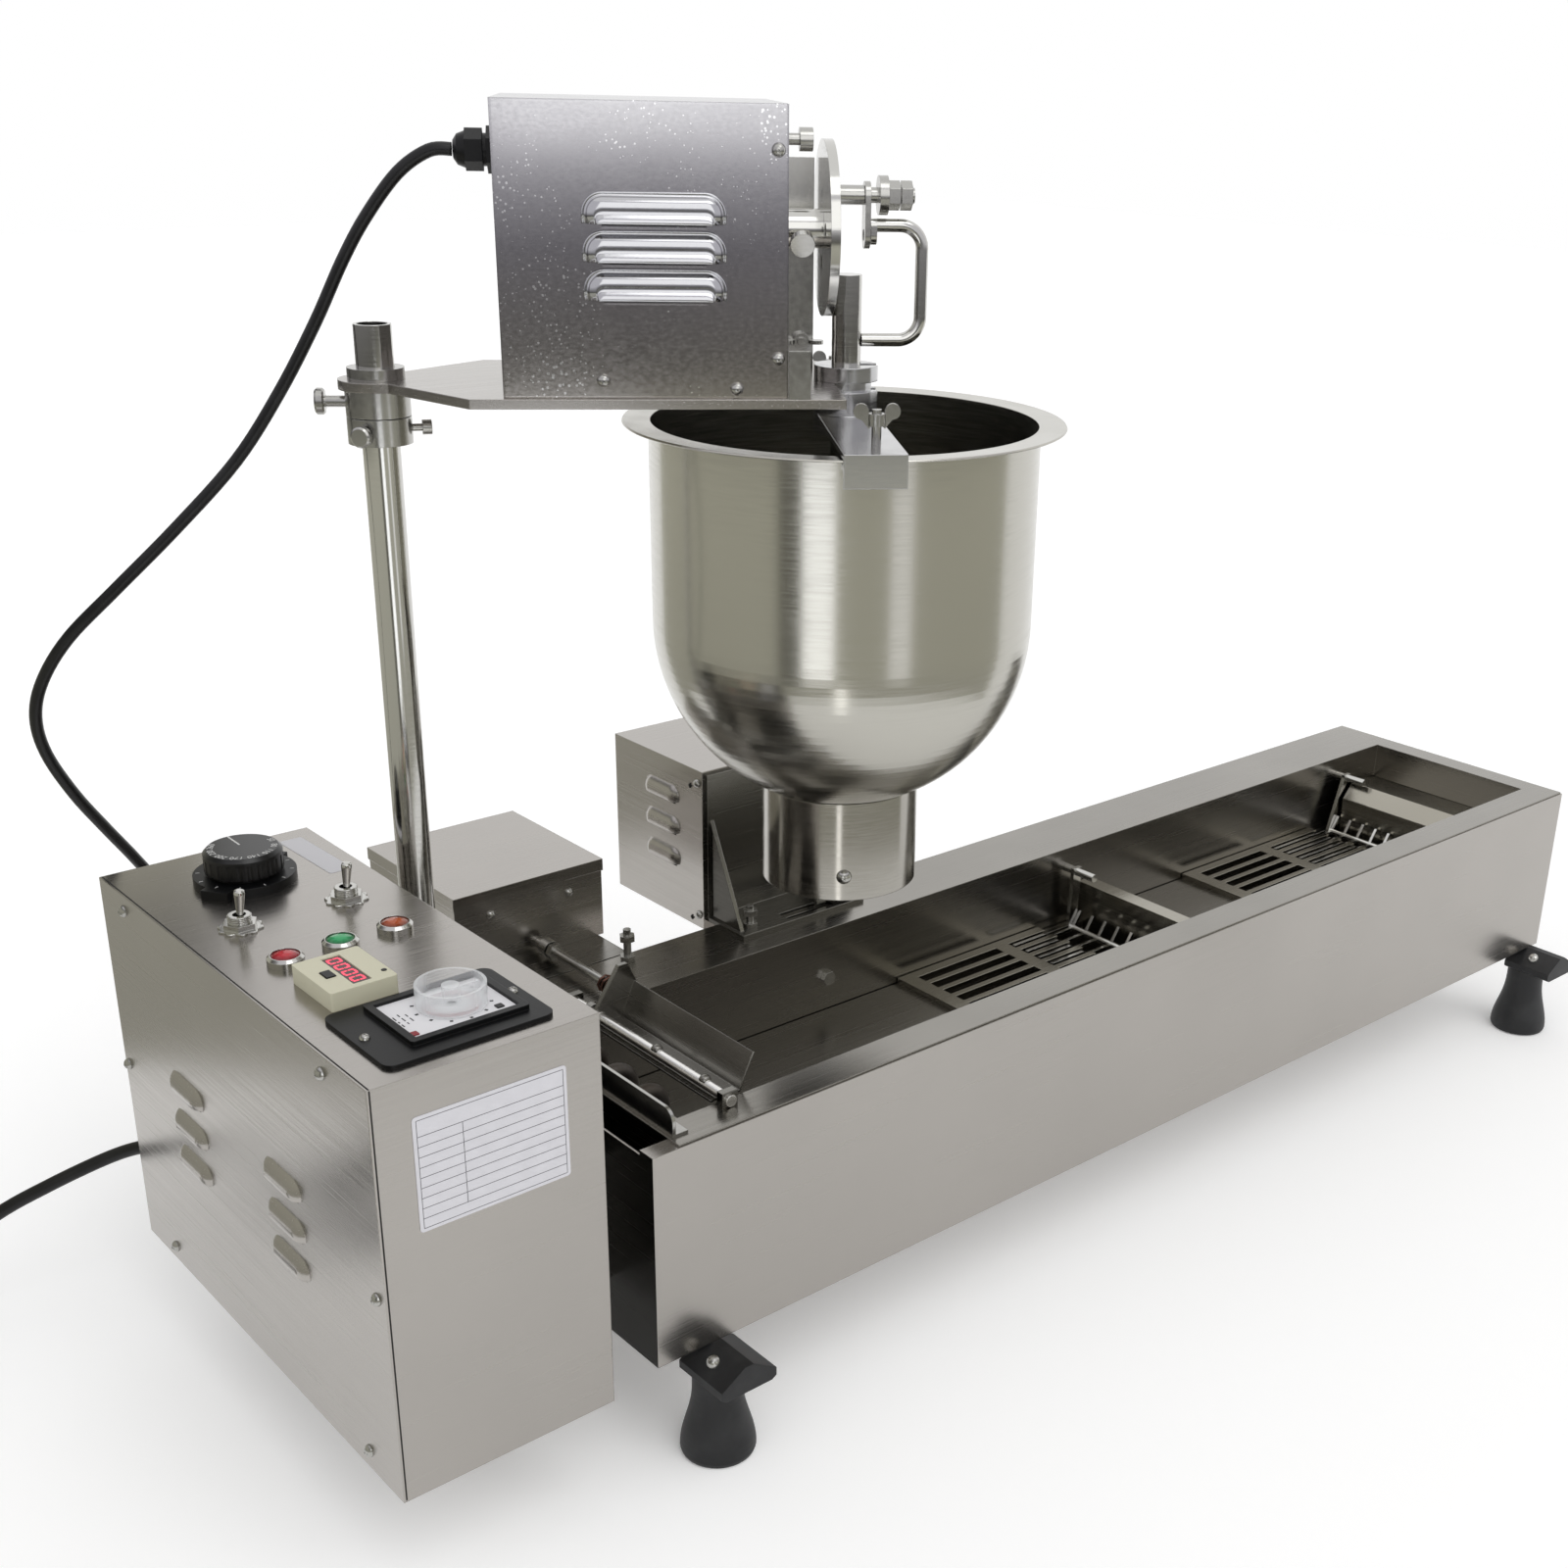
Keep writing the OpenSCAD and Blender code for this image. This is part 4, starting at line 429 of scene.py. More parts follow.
def moulded(name, tint, roughness, pebble=0.0003, depth=0.06, bloom=0.0, metallic=0.0, specular=0.5):
    made, tree, _, place = blank_material(name)
    dust = spread(tree, noise(tree, place, DUST_PER_METRE, 5), 0.45, 0.75)
    bloomed = [c + (DUST_GREY - c) * bloom for c in linear(tint)[:3]] + [1]
    skin = noise(tree, place, 1 / pebble / 4)
    principled(tree, {
        "Base Color": mixed(tree, dust, linear(tint), bloomed), "Roughness": roughness,
        "Metallic": metallic, "Specular IOR Level": specular,
        "Normal": bumped(tree, skin, depth, 0.0004, Normal=soft_edge(tree, 0.0006))})
    return made


black_abs = moulded("moulded black ABS", "#08090b", 0.36, specular=0.3)
bakelite = moulded("pressed phenolic", "#0c0c0d", 0.28, depth=0.03)
foot_rubber = moulded("moulded rubber", "#101114", 0.50, pebble=0.0006, depth=0.12, bloom=0.04)
cord_rubber = moulded("rubber sheath", "#0a0a0b", 0.34, depth=0.04, bloom=0.02, specular=0.4)
cream_abs = moulded("moulded cream ABS", "#cfccb4", 0.45)
white_ink = moulded("white filled engraving", "#dcdcda", 0.50, depth=0.02)
black_ink = moulded("black printing ink", "#141416", 0.45, depth=0.02)
red_cap = moulded("dark red polystyrene", "#8c1622", 0.30, depth=0.02)
# A near black for dark joints, and painted shade for screw recesses.
joint_black_and_recess_shade = moulded("dark joint, and painted shade of screw recesses", "#161512", 0.70, depth=0.05)
pale_film = moulded("pale polyester film", "#c3c2c6", 0.38, depth=0.02)
window_acrylic = moulded("ruby acrylic window", "#33060c", 0.14, depth=0.0)
scaled_tube = moulded("scaled heating tube", "#463f38", 0.50, depth=0.15, bloom=0.2, metallic=0.8)
grey_paint = moulded("grey machine enamel", "#4a4b4d", 0.45)
spring_wire = moulded("oil-darkened spring wire", "#64483e", 0.38, metallic=0.9)
give(["rubber_feet"], foot_rubber)
give(["thermostat_base", "timer_frame", "rear_glands", "cable_gland", "counter_button",
      "power_plug"], black_abs)
give(["thermostat_knob"], bakelite)
give(["counter_housing"], cream_abs)
give(["heater_element"], scaled_tube)
give(["drive_gearmotors", "head_gearmotor"], grey_paint)
give(["paddle_spring"], spring_wire)
give(["motor_cable", "power_cord", "cord_coil"], cord_rubber)
print("materials in the file so far:", len(bpy.data.materials))

# %% [markdown]
# The lamps are three lenses of one moulding in different colours, side by side along the panel.
# Where a lens stands decides its colour, so one material reads the place along the panel. A lens
# gets painted shade towards its edge, where the bezel shades it, so the material also asks how far
# the nearest middle is.


# %% Lamp lenses
LENSES = ((31.5, 146, "#a80f20"), (62.3, 147, "#0d8f52"), (94.3, 148.5, "#9c4210"))
RIM_SHADE_START, RIM_SHADE_END, RIM_SHADE_STRENGTH = 0.0030, 0.0072, 0.75


def lamp_plastic():
    made, tree, _, place = blank_material("tinted acrylic lamps")
    tint = linear(LENSES[0][2])
    for (left, _, _), (right, _, code) in zip(LENSES, LENSES[1:]):
        past_half = calc(tree, "GREATER_THAN", parts(tree, place)["X"], at((left + right) / 2, 0, 0).x)
        tint = mixed(tree, past_half, tint, linear(code))
    nearest = 1.0
    for x, y, _ in LENSES:
        away, _ = away_from(tree, place, X=at(x, y, 0).x, Y=at(x, y, 0).y)
        nearest = calc(tree, "MINIMUM", away, nearest)
    # Painted shade of the bezel, darker towards each lens's edge.
    rim = calc(tree, "MULTIPLY", spread(tree, nearest, RIM_SHADE_START, RIM_SHADE_END), RIM_SHADE_STRENGTH)
    tint = mixed(tree, rim, tint, linear("#1a0607"))
    ribs = add(tree, "ShaderNodeTexVoronoi", {"Vector": place, "Scale": 500}).outputs["Distance"]
    principled(tree, {"Base Color": tint, "Roughness": 0.12, "IOR": 1.49, "Emission Color": tint,
                      "Emission Strength": 0.2, "Normal": bumped(tree, ribs, 0.3, 0.0005)})
    return made


give(["lamp_lenses"], lamp_plastic())
print("lenses:", len(LENSES))

# %% [markdown]
# The timer's dial is a clear cup. Thin clear plastic is seen mostly where it turns away from the
# eye, at its edge and its walls, so the material covers more there with a pale colour, a painted
# reflection, and less face on. That is simpler than true refraction, and quicker to draw.


# %% Clear plastic of the dial
def clear_plastic():
    made, tree, _, place = blank_material("clear acrylic, painted reflection at grazing angles")
    rough = spread(tree, noise(tree, place, 200), 0, 1, 0.04, 0.16)
    grazing = add(tree, "ShaderNodeLayerWeight", {"Blend": 0.5}).outputs["Facing"]
    # The pale cover at grazing angles is a painted reflection.
    cover = spread(tree, grazing, 0.25, 1, 0.20, 0.85)
    principled(tree, {"Base Color": linear("#eef0f2"), "Roughness": rough, "IOR": 1.49, "Alpha": cover})
    return made


give(["timer_dial"], clear_plastic())
print("materials in the file so far:", len(bpy.data.materials))

# %% [markdown]
# ## Cords
# Two leads leave the machine. A thin black one hangs in a bow from the motor box down to the back
# of the control box. The mains lead comes out low on the same wall, drops to the table and lies
# in a coil with its plug beside it. Both are tubes along a smooth curve through chosen points.


# %% A smooth route, and a tube along it
def smooth(points, steps):
    points = [Vector(p) for p in points]
    route = []
    for i in range(len(points) - 1):
        a, b = points[max(i - 1, 0)], points[i]
        c, d = points[i + 1], points[min(i + 2, len(points) - 1)]
        for k in range(steps):
            t = k / steps
            route.append(0.5 * (2 * b + (c - a) * t + (2 * a - 5 * b + 4 * c - d) * t * t
                                + (3 * b - a - 3 * c + d) * t ** 3))
    return route + [points[-1]]


def length_of(route):
    return sum((b - a).length for a, b in zip(route, route[1:]))


def solid(name, bm, material):
    mesh = bpy.data.meshes.new(name)
    bm.to_mesh(mesh)
    bm.free()
    mesh.materials.append(material)
    return placed(name, mesh)


def tube(name, route, diameter, material, sides=16):
    bm = bmesh.new()
    normal = Vector((0, 0, 1))
    rings = []
    for i, point in enumerate(route):
        heading = (route[min(i + 1, len(route) - 1)] - route[max(i - 1, 0)]).normalized()
        normal = (normal - heading * normal.dot(heading)).normalized()
        across = heading.cross(normal)
        rings.append([bm.verts.new(point + diameter / 2 * (math.cos(a) * normal + math.sin(a) * across))
                      for a in (2 * math.pi * k / sides for k in range(sides))])
    for one, two in zip(rings, rings[1:]):
        for k in range(sides):
            n = (k + 1) % sides
            bm.faces.new((one[k], one[n], two[n], two[k])).smooth = True
    bm.faces.new(rings[0][::-1])
    bm.faces.new(rings[-1])
    return solid(name, bm, material)


# %% [markdown]
# The motor's cable ends in a gland that swings with the arm, while its other end stays on the
# control box. So the real cable bends between the two when the arm moves, over its free length: from
# the outermost point of its bow up to the gland. Here it is one fixed tube that doesn't follow the arm.

# %% The motor's cable
CABLE_ACROSS = 0.0068
GLAND_REACH, GLAND_HEIGHT = 46.4, 689.913
gland_end = COLUMN + turned(GLAND_REACH, 0, GLAND_HEIGHT)
cable_points = [
    tuple(gland_end), (184, 221, 689), (171, 231, 678), (158, 244, 656), (148, 254, 634), (136, 266, 603),
    (118, 278, 567), (95, 290, 531), (62, 302, 496), (30, 312, 466), (5, 322, 441), (-9, 330, 418),
    (-14, 335, 397), (-10, 340, 374), (3, 345, 346), (19, 350, 320), (34, 355, 297), (46, 361, 277),
    (55, 364.5, 256), (61, 361, 242), (63, 353, 233.5), (63, 343, 229.3), (63, 332.4, 228),
]
cable_route = smooth([at(*p) for p in cable_points], 6)
motor_cable = tube("motor_cable_sheath", cable_route, CABLE_ACROSS, cord_rubber)
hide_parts("motor_cable")
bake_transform(motor_cable)
print("the motor's cable is", round(length_of(cable_route), 3), "m long")

# %% [markdown]
# The mains lead falls from its gland to the table and ends in a coil of two layers. A coil is a
# simple rule: the lead winds inwards on the table, climbs over itself within half a turn, winds
# back outwards on top and runs straight on to the plug.

# %% The mains lead with its coil
CORD_ACROSS, CORD_LIES = 0.0084, 4.2
COIL_MIDDLE, COIL_OUT, COIL_STEP, COIL_RISE = (-188, 346), 58, 9, 8.9
TURNS, STEPS_A_TURN, CLIMB = 2.5, 48, 0.5
TAIL = (17, 34)
cord_points = [
    (26, 338.4, 106), (25.3, 347, 105.6), (21.5, 357, 103.9), (14, 366, 100.6), (3, 373, 96.6),
    (-13, 378, 91.7), (-34, 383, 85), (-60, 390, 74.7), (-83, 397, 60.4), (-102, 401, 43.4),
    (-121, 404, 26.4), (-140, 405, 13), (-157, 404, 5.8), (-170, 404, 4.2), (-179.6, 404, 4.2),
]


def coil_point(n):
    radius = COIL_OUT - COIL_STEP * (TURNS - abs(n - TURNS))
    climbed = min(max((n - TURNS + CLIMB / 2) / CLIMB, 0), 1)
    angle = 2 * math.pi * n
    return (COIL_MIDDLE[0] - radius * math.sin(angle), COIL_MIDDLE[1] + radius * math.cos(angle),
            CORD_LIES + COIL_RISE * climbed)


coil_points = [coil_point(k / STEPS_A_TURN) for k in range(int(2 * TURNS * STEPS_A_TURN) + 1)]
tail_points = [(COIL_MIDDLE[0] - run, COIL_MIDDLE[1] + COIL_OUT, CORD_LIES + COIL_RISE) for run in TAIL]
cord_route = smooth([at(*p) for p in cord_points], 5) + [at(*p) for p in coil_points + tail_points]
power_cord = tube("power_cord_sheath", cord_route, CORD_ACROSS, cord_rubber)
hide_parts("power_cord", "cord_coil")
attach(power_cord, "base")
print("the mains lead is", round(length_of(cord_route), 3), "m long")

# %% [markdown]
# ## Small pieces
# The drawing leaves out what is thinner than a sheet: printed faces, figures, screw recesses,
# threads and joints. Each is a low stack of outlines, one above the other, so one function builds
# them all from a list of outlines with heights and from the plane that they lie on. A plane is a
# function as well: from a place on it and a height above it, it gives the place in the model.


# %% Outlines and stacks of outlines
def rounded(wide, high, radius, inset=0.0, steps=5):
    corners = ((wide - radius, high - radius, 0), (radius, high - radius, 90), (radius, radius, 180),
               (wide - radius, radius, 270))
    return [(x + (radius - inset) * math.cos(math.radians(start + 90 * k / steps)),
             y + (radius - inset) * math.sin(math.radians(start + 90 * k / steps)))
            for x, y, start in corners for k in range(steps + 1)]


def layers(wide, high, radius, levels, steps=5):
    return [(rounded(wide, high, radius, inset, steps), w) for inset, w in levels]


def circle(radius, sides, lobes=0, wave=0.0):
    angles = [2 * math.pi * k / sides for k in range(sides)]
    reaches = [radius + wave * math.cos(lobes * a) for a in angles]
    return [(reach * math.cos(a), reach * math.sin(a)) for reach, a in zip(reaches, angles)]


def stack(bm, plane, levels, hole=None):
    rings = [[bm.verts.new(plane(u, v, w)) for u, v in outline] for outline, w in levels]
    if hole:
        rings += [[bm.verts.new(plane(u, v, w)) for u, v in hole] for w in (levels[-1][1], levels[0][1])]
        rings.append(rings[0])
    for low, high in zip(rings, rings[1:]):
        for k in range(len(low)):
            n = (k + 1) % len(low)
            bm.faces.new((low[k], low[n], high[n], high[k]))
    if not hole:
        bm.faces.new(rings[0][::-1])
        bm.faces.new(rings[-1])


def low_block(bm, plane, u, v, wide, high, thick, radius=0.25):
    inset = min(0.12, radius / 2)
    levels = ((0, 0), (0, thick - inset), (inset, thick))
    stack(bm, plane, [([(u + a, v + b) for a, b in outline], w)
                      for outline, w in layers(wide, high, radius, levels, 2)])


def keep(name, bm, material, body):
    bmesh.ops.recalc_face_normals(bm, faces=bm.faces)
    made = solid(name, bm, material)
    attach(made, body)


# %% Planes that the small pieces lie on
PANEL_TOP = 305.5
HEAD_LEFT, HEAD_FRONT, ARM_TOP = 69, -68, 575.9


def flat_on(x, y, z):
    return lambda u, v, w: at(x + u, y + v, z + w)


def on_front(x, z):
    return lambda u, v, w: at(x + u, -w, z + v)


def on_left_side(y, z, x=0):
    return lambda u, v, w: at(x - w, y + u, z + v)


def on_motor_box(s, z):
    return lambda u, v, w: on_arm(HEAD_LEFT + s + u, HEAD_FRONT - w, ARM_TOP + z + v)


print("the motor box's front left foot is at", [round(v, 3) for v in on_motor_box(0, 0)(0, 0, 0)])

# %% [markdown]
# The plate on the front is a blank table: a thin frame, a tall head row, eight rows that an upright
# rule splits, and a foot row. A material draws the rules from the place on it, 0.4 mm wide.


# %% Plate on the front
PLATE_X, PLATE_Z, PLATE_WIDE, PLATE_HIGH, PLATE_ROUND = 20.8, 221.9, 83.2, 62.0, 2.0
MARGIN, HALF_RULE, ROW, FIRST_RULE, UPRIGHT = 0.0020, 0.0002, 0.0055, 0.0071, 0.0257
RULES_FROM, RULES_TO, UPRIGHT_TO = 0.0070, 0.0516, 0.0512


def near(tree, value, where):
    away = calc(tree, "ABSOLUTE", calc(tree, "SUBTRACT", value, where))
    return calc(tree, "LESS_THAN", away, HALF_RULE)


def between(tree, value, low, high):
    return calc(tree, "MULTIPLY", calc(tree, "GREATER_THAN", value, low),
                calc(tree, "LESS_THAN", value, high))


def plate_rules(tree, u, v):
    far_u, far_v = PLATE_WIDE / 1000 - MARGIN, PLATE_HIGH / 1000 - MARGIN
    in_u, in_v = between(tree, u, MARGIN, far_u), between(tree, v, MARGIN, far_v)
    rise = calc(tree, "DIVIDE", calc(tree, "SUBTRACT", v, FIRST_RULE), ROW)
    on_rule = calc(tree, "LESS_THAN", calc(tree, "FRACT", rise), 2 * HALF_RULE / ROW)
    in_table = calc(tree, "MULTIPLY", between(tree, v, RULES_FROM, RULES_TO), in_u)
    lines = [(on_rule, in_table),
             (calc(tree, "ADD", near(tree, u, MARGIN), near(tree, u, far_u)), in_v),
             (calc(tree, "ADD", near(tree, v, MARGIN), near(tree, v, far_v)), in_u),
             (near(tree, u, UPRIGHT), between(tree, v, FIRST_RULE, UPRIGHT_TO))]
    ink = 0.0
    for line, stretch in lines:
        ink = calc(tree, "ADD", ink, calc(tree, "MULTIPLY", line, stretch))
    return calc(tree, "MINIMUM", ink, 1.0)


def ruled_plate():
    made, tree, _, place = blank_material("printed aluminium plate")
    xyz = parts(tree, place)
    u = calc(tree, "SUBTRACT", xyz["X"], at(PLATE_X, 0, 0).x)
    v = calc(tree, "SUBTRACT", xyz["Z"], PLATE_Z / 1000)
    wear = noise(tree, place, 120, 4)
    paper = mixed(tree, wear, linear("#cfced3"), linear("#dddce1"))
    ink = calc(tree, "MULTIPLY", plate_rules(tree, u, v), 0.85)
    principled(tree, {"Base Color": mixed(tree, ink, paper, linear("#2c2c33")), "Roughness": 0.42,
                      "Normal": bumped(tree, wear, 0.05, 0.0002)})
    return made


plate = bmesh.new()
stack(plate, on_front(PLATE_X, PLATE_Z),
      layers(PLATE_WIDE, PLATE_HIGH, PLATE_ROUND, ((0, 0), (0, 0.35), (0.2, 0.45))))
keep("blank_front_plate", plate, ruled_plate(), "base")
print("the front plate is", PLATE_WIDE, "by", PLATE_HIGH, "mm")

# %% [markdown]
# A bare strip of pale film lies behind the knob, a little askew, as if stuck on by hand. So its plane
# slips sideways with every millimetre along it.

# %% Film on the panel
FILM_X, FILM_Y, FILM_WIDE, FILM_LONG, FILM_ROUND, FILM_SKEW = 102.6, 240, 14, 62, 1.2, 0.03
film = bmesh.new()
stack(film, lambda u, v, w: at(FILM_X + u - v * FILM_SKEW, FILM_Y + v, PANEL_TOP + w),
      layers(FILM_WIDE, FILM_LONG, FILM_ROUND, ((0, 0), (0, 0.1), (0.1, 0.15))))
keep("bare_panel_film", film, pale_film, "base")
print("the film is", FILM_WIDE, "by", FILM_LONG, "mm")

# %% [markdown]
# ## Figures on the knob and the counter
# The knob has a pointer line and plain temperature figures round its top. They are engraved and
# filled with white, and they turn with the knob. The strokes on the ring under it stand still.


# %% The knob's line, figures and strokes
KNOB = Vector((62.5, 262, 325.0))
FIGURES, FIRST_FIGURE, FIGURE_STEP, FIGURE_SPACING, FIGURE_REACH, FIGURE_SIZE = 8, 50, 30, 31, 17.0, 5.0
STROKES, STROKE_REACH, STROKE_LONG, STROKE_WIDE, RING_TOP = 12, 24.2, 2.4, 0.6, PANEL_TOP + 5
pointer = bmesh.new()
low_block(pointer, flat_on(*KNOB), -0.5, 3.5, 1.1, 15.5, 0.15)
keep("knob_line", pointer, white_ink, "thermostat_knob")


def figure(name, words, centre, facing):
    curve = bpy.data.curves.new(name, "FONT")
    curve.body = words
    curve.size = FIGURE_SIZE / 1000
    curve.align_x = "CENTER"
    curve.align_y = "CENTER"
    curve.extrude = 0.00006
    curve.materials.append(white_ink)
    made = placed(name, curve)
    made.location = at(*centre)
    made.rotation_euler = (0, 0, facing)
    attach(made, "thermostat_knob")


for k in range(FIGURES):
    angle = math.radians(-FIGURE_SPACING * k)
    spot = KNOB + FIGURE_REACH * Vector((math.cos(angle), math.sin(angle), 0)) + Vector((0, 0, 0.06))
    figure(f"knob_figure_{k + 1}", str(FIRST_FIGURE + FIGURE_STEP * k), spot, angle - math.pi / 2)


def round_the_knob(angle):
    x, y = math.cos(angle), math.sin(angle)
    return lambda u, v, w: at(KNOB.x + (STROKE_REACH + u) * x - v * y,
                              KNOB.y + (STROKE_REACH + u) * y + v * x, RING_TOP + w)


base_marks = bmesh.new()
for k in range(STROKES):
    low_block(base_marks, round_the_knob(2 * math.pi * k / STROKES), 0, -STROKE_WIDE / 2,
              STROKE_LONG, STROKE_WIDE, 0.1, 0.2)
keep("knob_base_marks", base_marks, white_ink, "base")
print("the knob shows", FIRST_FIGURE, "to", FIRST_FIGURE + FIGURE_STEP * (FIGURES - 1), "degrees")

# %% [markdown]
# The counter shows a row of zeros, each of six lit bars, behind a ruby window. The bars lie on top
# of the window as thin glowing blocks, which is simpler than light through tinted plastic and
# looks the same from here. A small dark lens sits beside the window.

# %% The counter's window
WINDOW = Vector((38, 84, 314.0))
WINDOW_WIDE, WINDOW_LONG, WINDOW_THICK, WINDOW_GAP = 9.7, 34.7, 0.95, 0.15
window = bmesh.new()
stack(window, flat_on(WINDOW.x + WINDOW_GAP, WINDOW.y + WINDOW_GAP, WINDOW.z),
      layers(WINDOW_WIDE, WINDOW_LONG, 0.6, ((0, 0), (0, 0.7), (0.25, WINDOW_THICK))))
keep("counter_window", window, window_acrylic, "base")

print("the counter's window is", WINDOW_WIDE, "by", WINDOW_LONG, "mm")

# %% The counter's lit bars and its lens
DIGITS, DIGIT_START, DIGIT_PITCH, DIGIT_LIFT = 4, 33.4, 8.2, 1.3
DIGIT_WIDE, DIGIT_HIGH, BAR, BAR_LONG, BAR_THICK = 6.0, 7.6, 1.35, 3.2, 0.12


def lit_bars():
    made, tree, _, place = blank_material("lit red bars")
    glow = mixed(tree, noise(tree, place, 900), linear("#e0304c"), linear("#ff5a72"))
    principled(tree, {"Base Color": glow, "Roughness": 0.4, "Emission Color": glow,
                      "Emission Strength": 0.7})
    return made


def on_window(start_y):
    return lambda u, v, w: at(WINDOW.x + DIGIT_LIFT + v, start_y - u, WINDOW.z + WINDOW_THICK + w)


bars = bmesh.new()
for k in range(DIGITS):
    digit_plane = on_window(WINDOW.y + DIGIT_START - DIGIT_PITCH * k)
    for v in (0, DIGIT_HIGH - BAR):
        low_block(bars, digit_plane, BAR, v, DIGIT_WIDE - 2 * BAR, BAR, BAR_THICK, 0.3)
    for u in (0, DIGIT_WIDE - BAR):
        for v in (0.4, 4.0):
            low_block(bars, digit_plane, u, v, BAR, BAR_LONG, BAR_THICK, 0.3)
keep("counter_zeros", bars, lit_bars(), "base")

LENS_X, LENS_Y, HOUSING_TOP = 57, 88.9, PANEL_TOP + 10
lens = bmesh.new()
stack(lens, flat_on(LENS_X, LENS_Y, HOUSING_TOP),
      [(circle(radius, 24), w) for radius, w in ((1.5, 0), (1.4, 0.25), (1.0, 0.35))])
keep("counter_dot", lens, black_ink, "base")
print("the counter shows", DIGITS, "zeros")

# %% [markdown]
# ## The timer's face
# White card with twelve strokes round the dial and a worn red ring under it, both drawn by its
# material from the distance and the angle. It has a hole where the spindle comes through, so its
# edge is walked by angle: each point of the edge has its partner on the hole.


# %% Printing on the card
DIAL = Vector((71, 48))
CARD_STROKES, STROKE_SHARE = 12, 0.16
STROKES_FROM, STROKES_TO, RED_FROM, RED_TO = 0.0181, 0.0199, 0.0095, 0.0145


def timer_card():
    made, tree, _, place = blank_material("printed timer card")
    away, (u, v) = away_from(tree, place, X=at(*DIAL, 0).x, Y=at(*DIAL, 0).y)
    steps = calc(tree, "MULTIPLY_ADD", calc(tree, "ARCTAN2", v, u),
                 CARD_STROKES / (2 * math.pi), CARD_STROKES + STROKE_SHARE / 2)
    stroke = calc(tree, "LESS_THAN", calc(tree, "FRACT", steps), STROKE_SHARE)
    strokes = calc(tree, "MULTIPLY", stroke, between(tree, away, STROKES_FROM, STROKES_TO))
    worn = noise(tree, place, 260, 3)
    red = calc(tree, "MULTIPLY", between(tree, away, RED_FROM, RED_TO), worn)
    colour = mixed(tree, red, linear("#e4e3e6"), linear("#c04050"))
    colour = mixed(tree, strokes, colour, linear("#1c1c20"))
    principled(tree, {"Base Color": colour, "Roughness": 0.5, "Normal": bumped(tree, worn, 0.03, 0.0002)})
    return made


# %% The card
CARD_LOW, CARD_HIGH = Vector((39.3, 25.3)), Vector((94.7, 66.7))
CARD_Z, CARD_THICK, SPINDLE_HOLE, EDGE_STEPS = 308.3, 0.15, 3.2, 44


def to_edge(angle):
    x, y = math.cos(angle), math.sin(angle)
    reach = min((CARD_HIGH.x - DIAL.x if x > 0 else DIAL.x - CARD_LOW.x) / max(abs(x), 1e-6),
                (CARD_HIGH.y - DIAL.y if y > 0 else DIAL.y - CARD_LOW.y) / max(abs(y), 1e-6))
    return (reach * x, reach * y)


corner_angles = [math.atan2(y - DIAL.y, x - DIAL.x) for x in (CARD_LOW.x, CARD_HIGH.x)
                 for y in (CARD_LOW.y, CARD_HIGH.y)]
card_angles = sorted([2 * math.pi * k / EDGE_STEPS - math.pi for k in range(EDGE_STEPS)] + corner_angles)
card_edge = [to_edge(a) for a in card_angles]
card = bmesh.new()
stack(card, flat_on(*DIAL, CARD_Z), [(card_edge, 0), (card_edge, CARD_THICK)],
      hole=[(SPINDLE_HOLE * math.cos(a), SPINDLE_HOLE * math.sin(a)) for a in card_angles])
keep("timer_card", card, timer_card(), "base")
print("the card's edge has", len(card_edge), "points")

# %% [markdown]
# A red and a black cap stand beside the dial, and three short rows of dashes lie left of it. Caps
# and dashes are the same low block, only thick or as thin as ink.

# %% Caps and dashes on the card
CAP, CAP_THICK = 4, 0.6
DASH_LEFT, DASH_ROW, DASH_WIDE, DASH_GAP, DASH_THICK = 41, 3.2, 0.7, 1.6, 0.04
DASHES = ((40.0, (3, 2, 4)), (41.5, (2, 4, 3)), (43.0, (4, 3)))
for cap_name, cap_x, cap_y, finish in (("timer_red_cap", 41.2, 30.6, red_cap),
                                       ("timer_black_cap", 87.5, 31.1, black_ink)):
    cap = bmesh.new()
    low_block(cap, flat_on(cap_x, cap_y, CARD_Z + CARD_THICK), -CAP / 2, -CAP / 2, CAP, CAP,
              CAP_THICK, 0.5)
    keep(cap_name, cap, finish, "base")

dashes = bmesh.new()
for row, (start, lengths) in enumerate(DASHES):
    y = start
    for length in lengths:
        low_block(dashes, flat_on(0, 0, CARD_Z + CARD_THICK), DASH_LEFT + DASH_ROW * row, y,
                  DASH_WIDE, length, DASH_THICK, 0.2)
        y += length + DASH_GAP
keep("timer_card_strokes", dashes, black_ink, "base")
print("dashes on the card:", sum(len(lengths) for _, lengths in DASHES))

# %% [markdown]
# ## Screw recesses, threads and joints
# A cross recess turns a dome into a screw. Each cross follows the dome of its head and stands
# 0.06 mm proud of it, in a near black that is painted shade standing in for the recess's depth.


# %% Cross recesses of the base
DOME_RISE, CROSS_REACH, CROSS_HALF, CROSS_PROUD = 0.42, 0.28, 0.07, 0.06
SIDE_SCREWS = ((46, 295), (282, 296), (9, 189), (310, 189), (34, 84), (274, 82))
TIMER_SCREWS, TIMER_SCREW_TOP = ((22, 43), (102, 43)), 307.5
MID_BOX_SCREWS = ((5, 9), (5, 102))


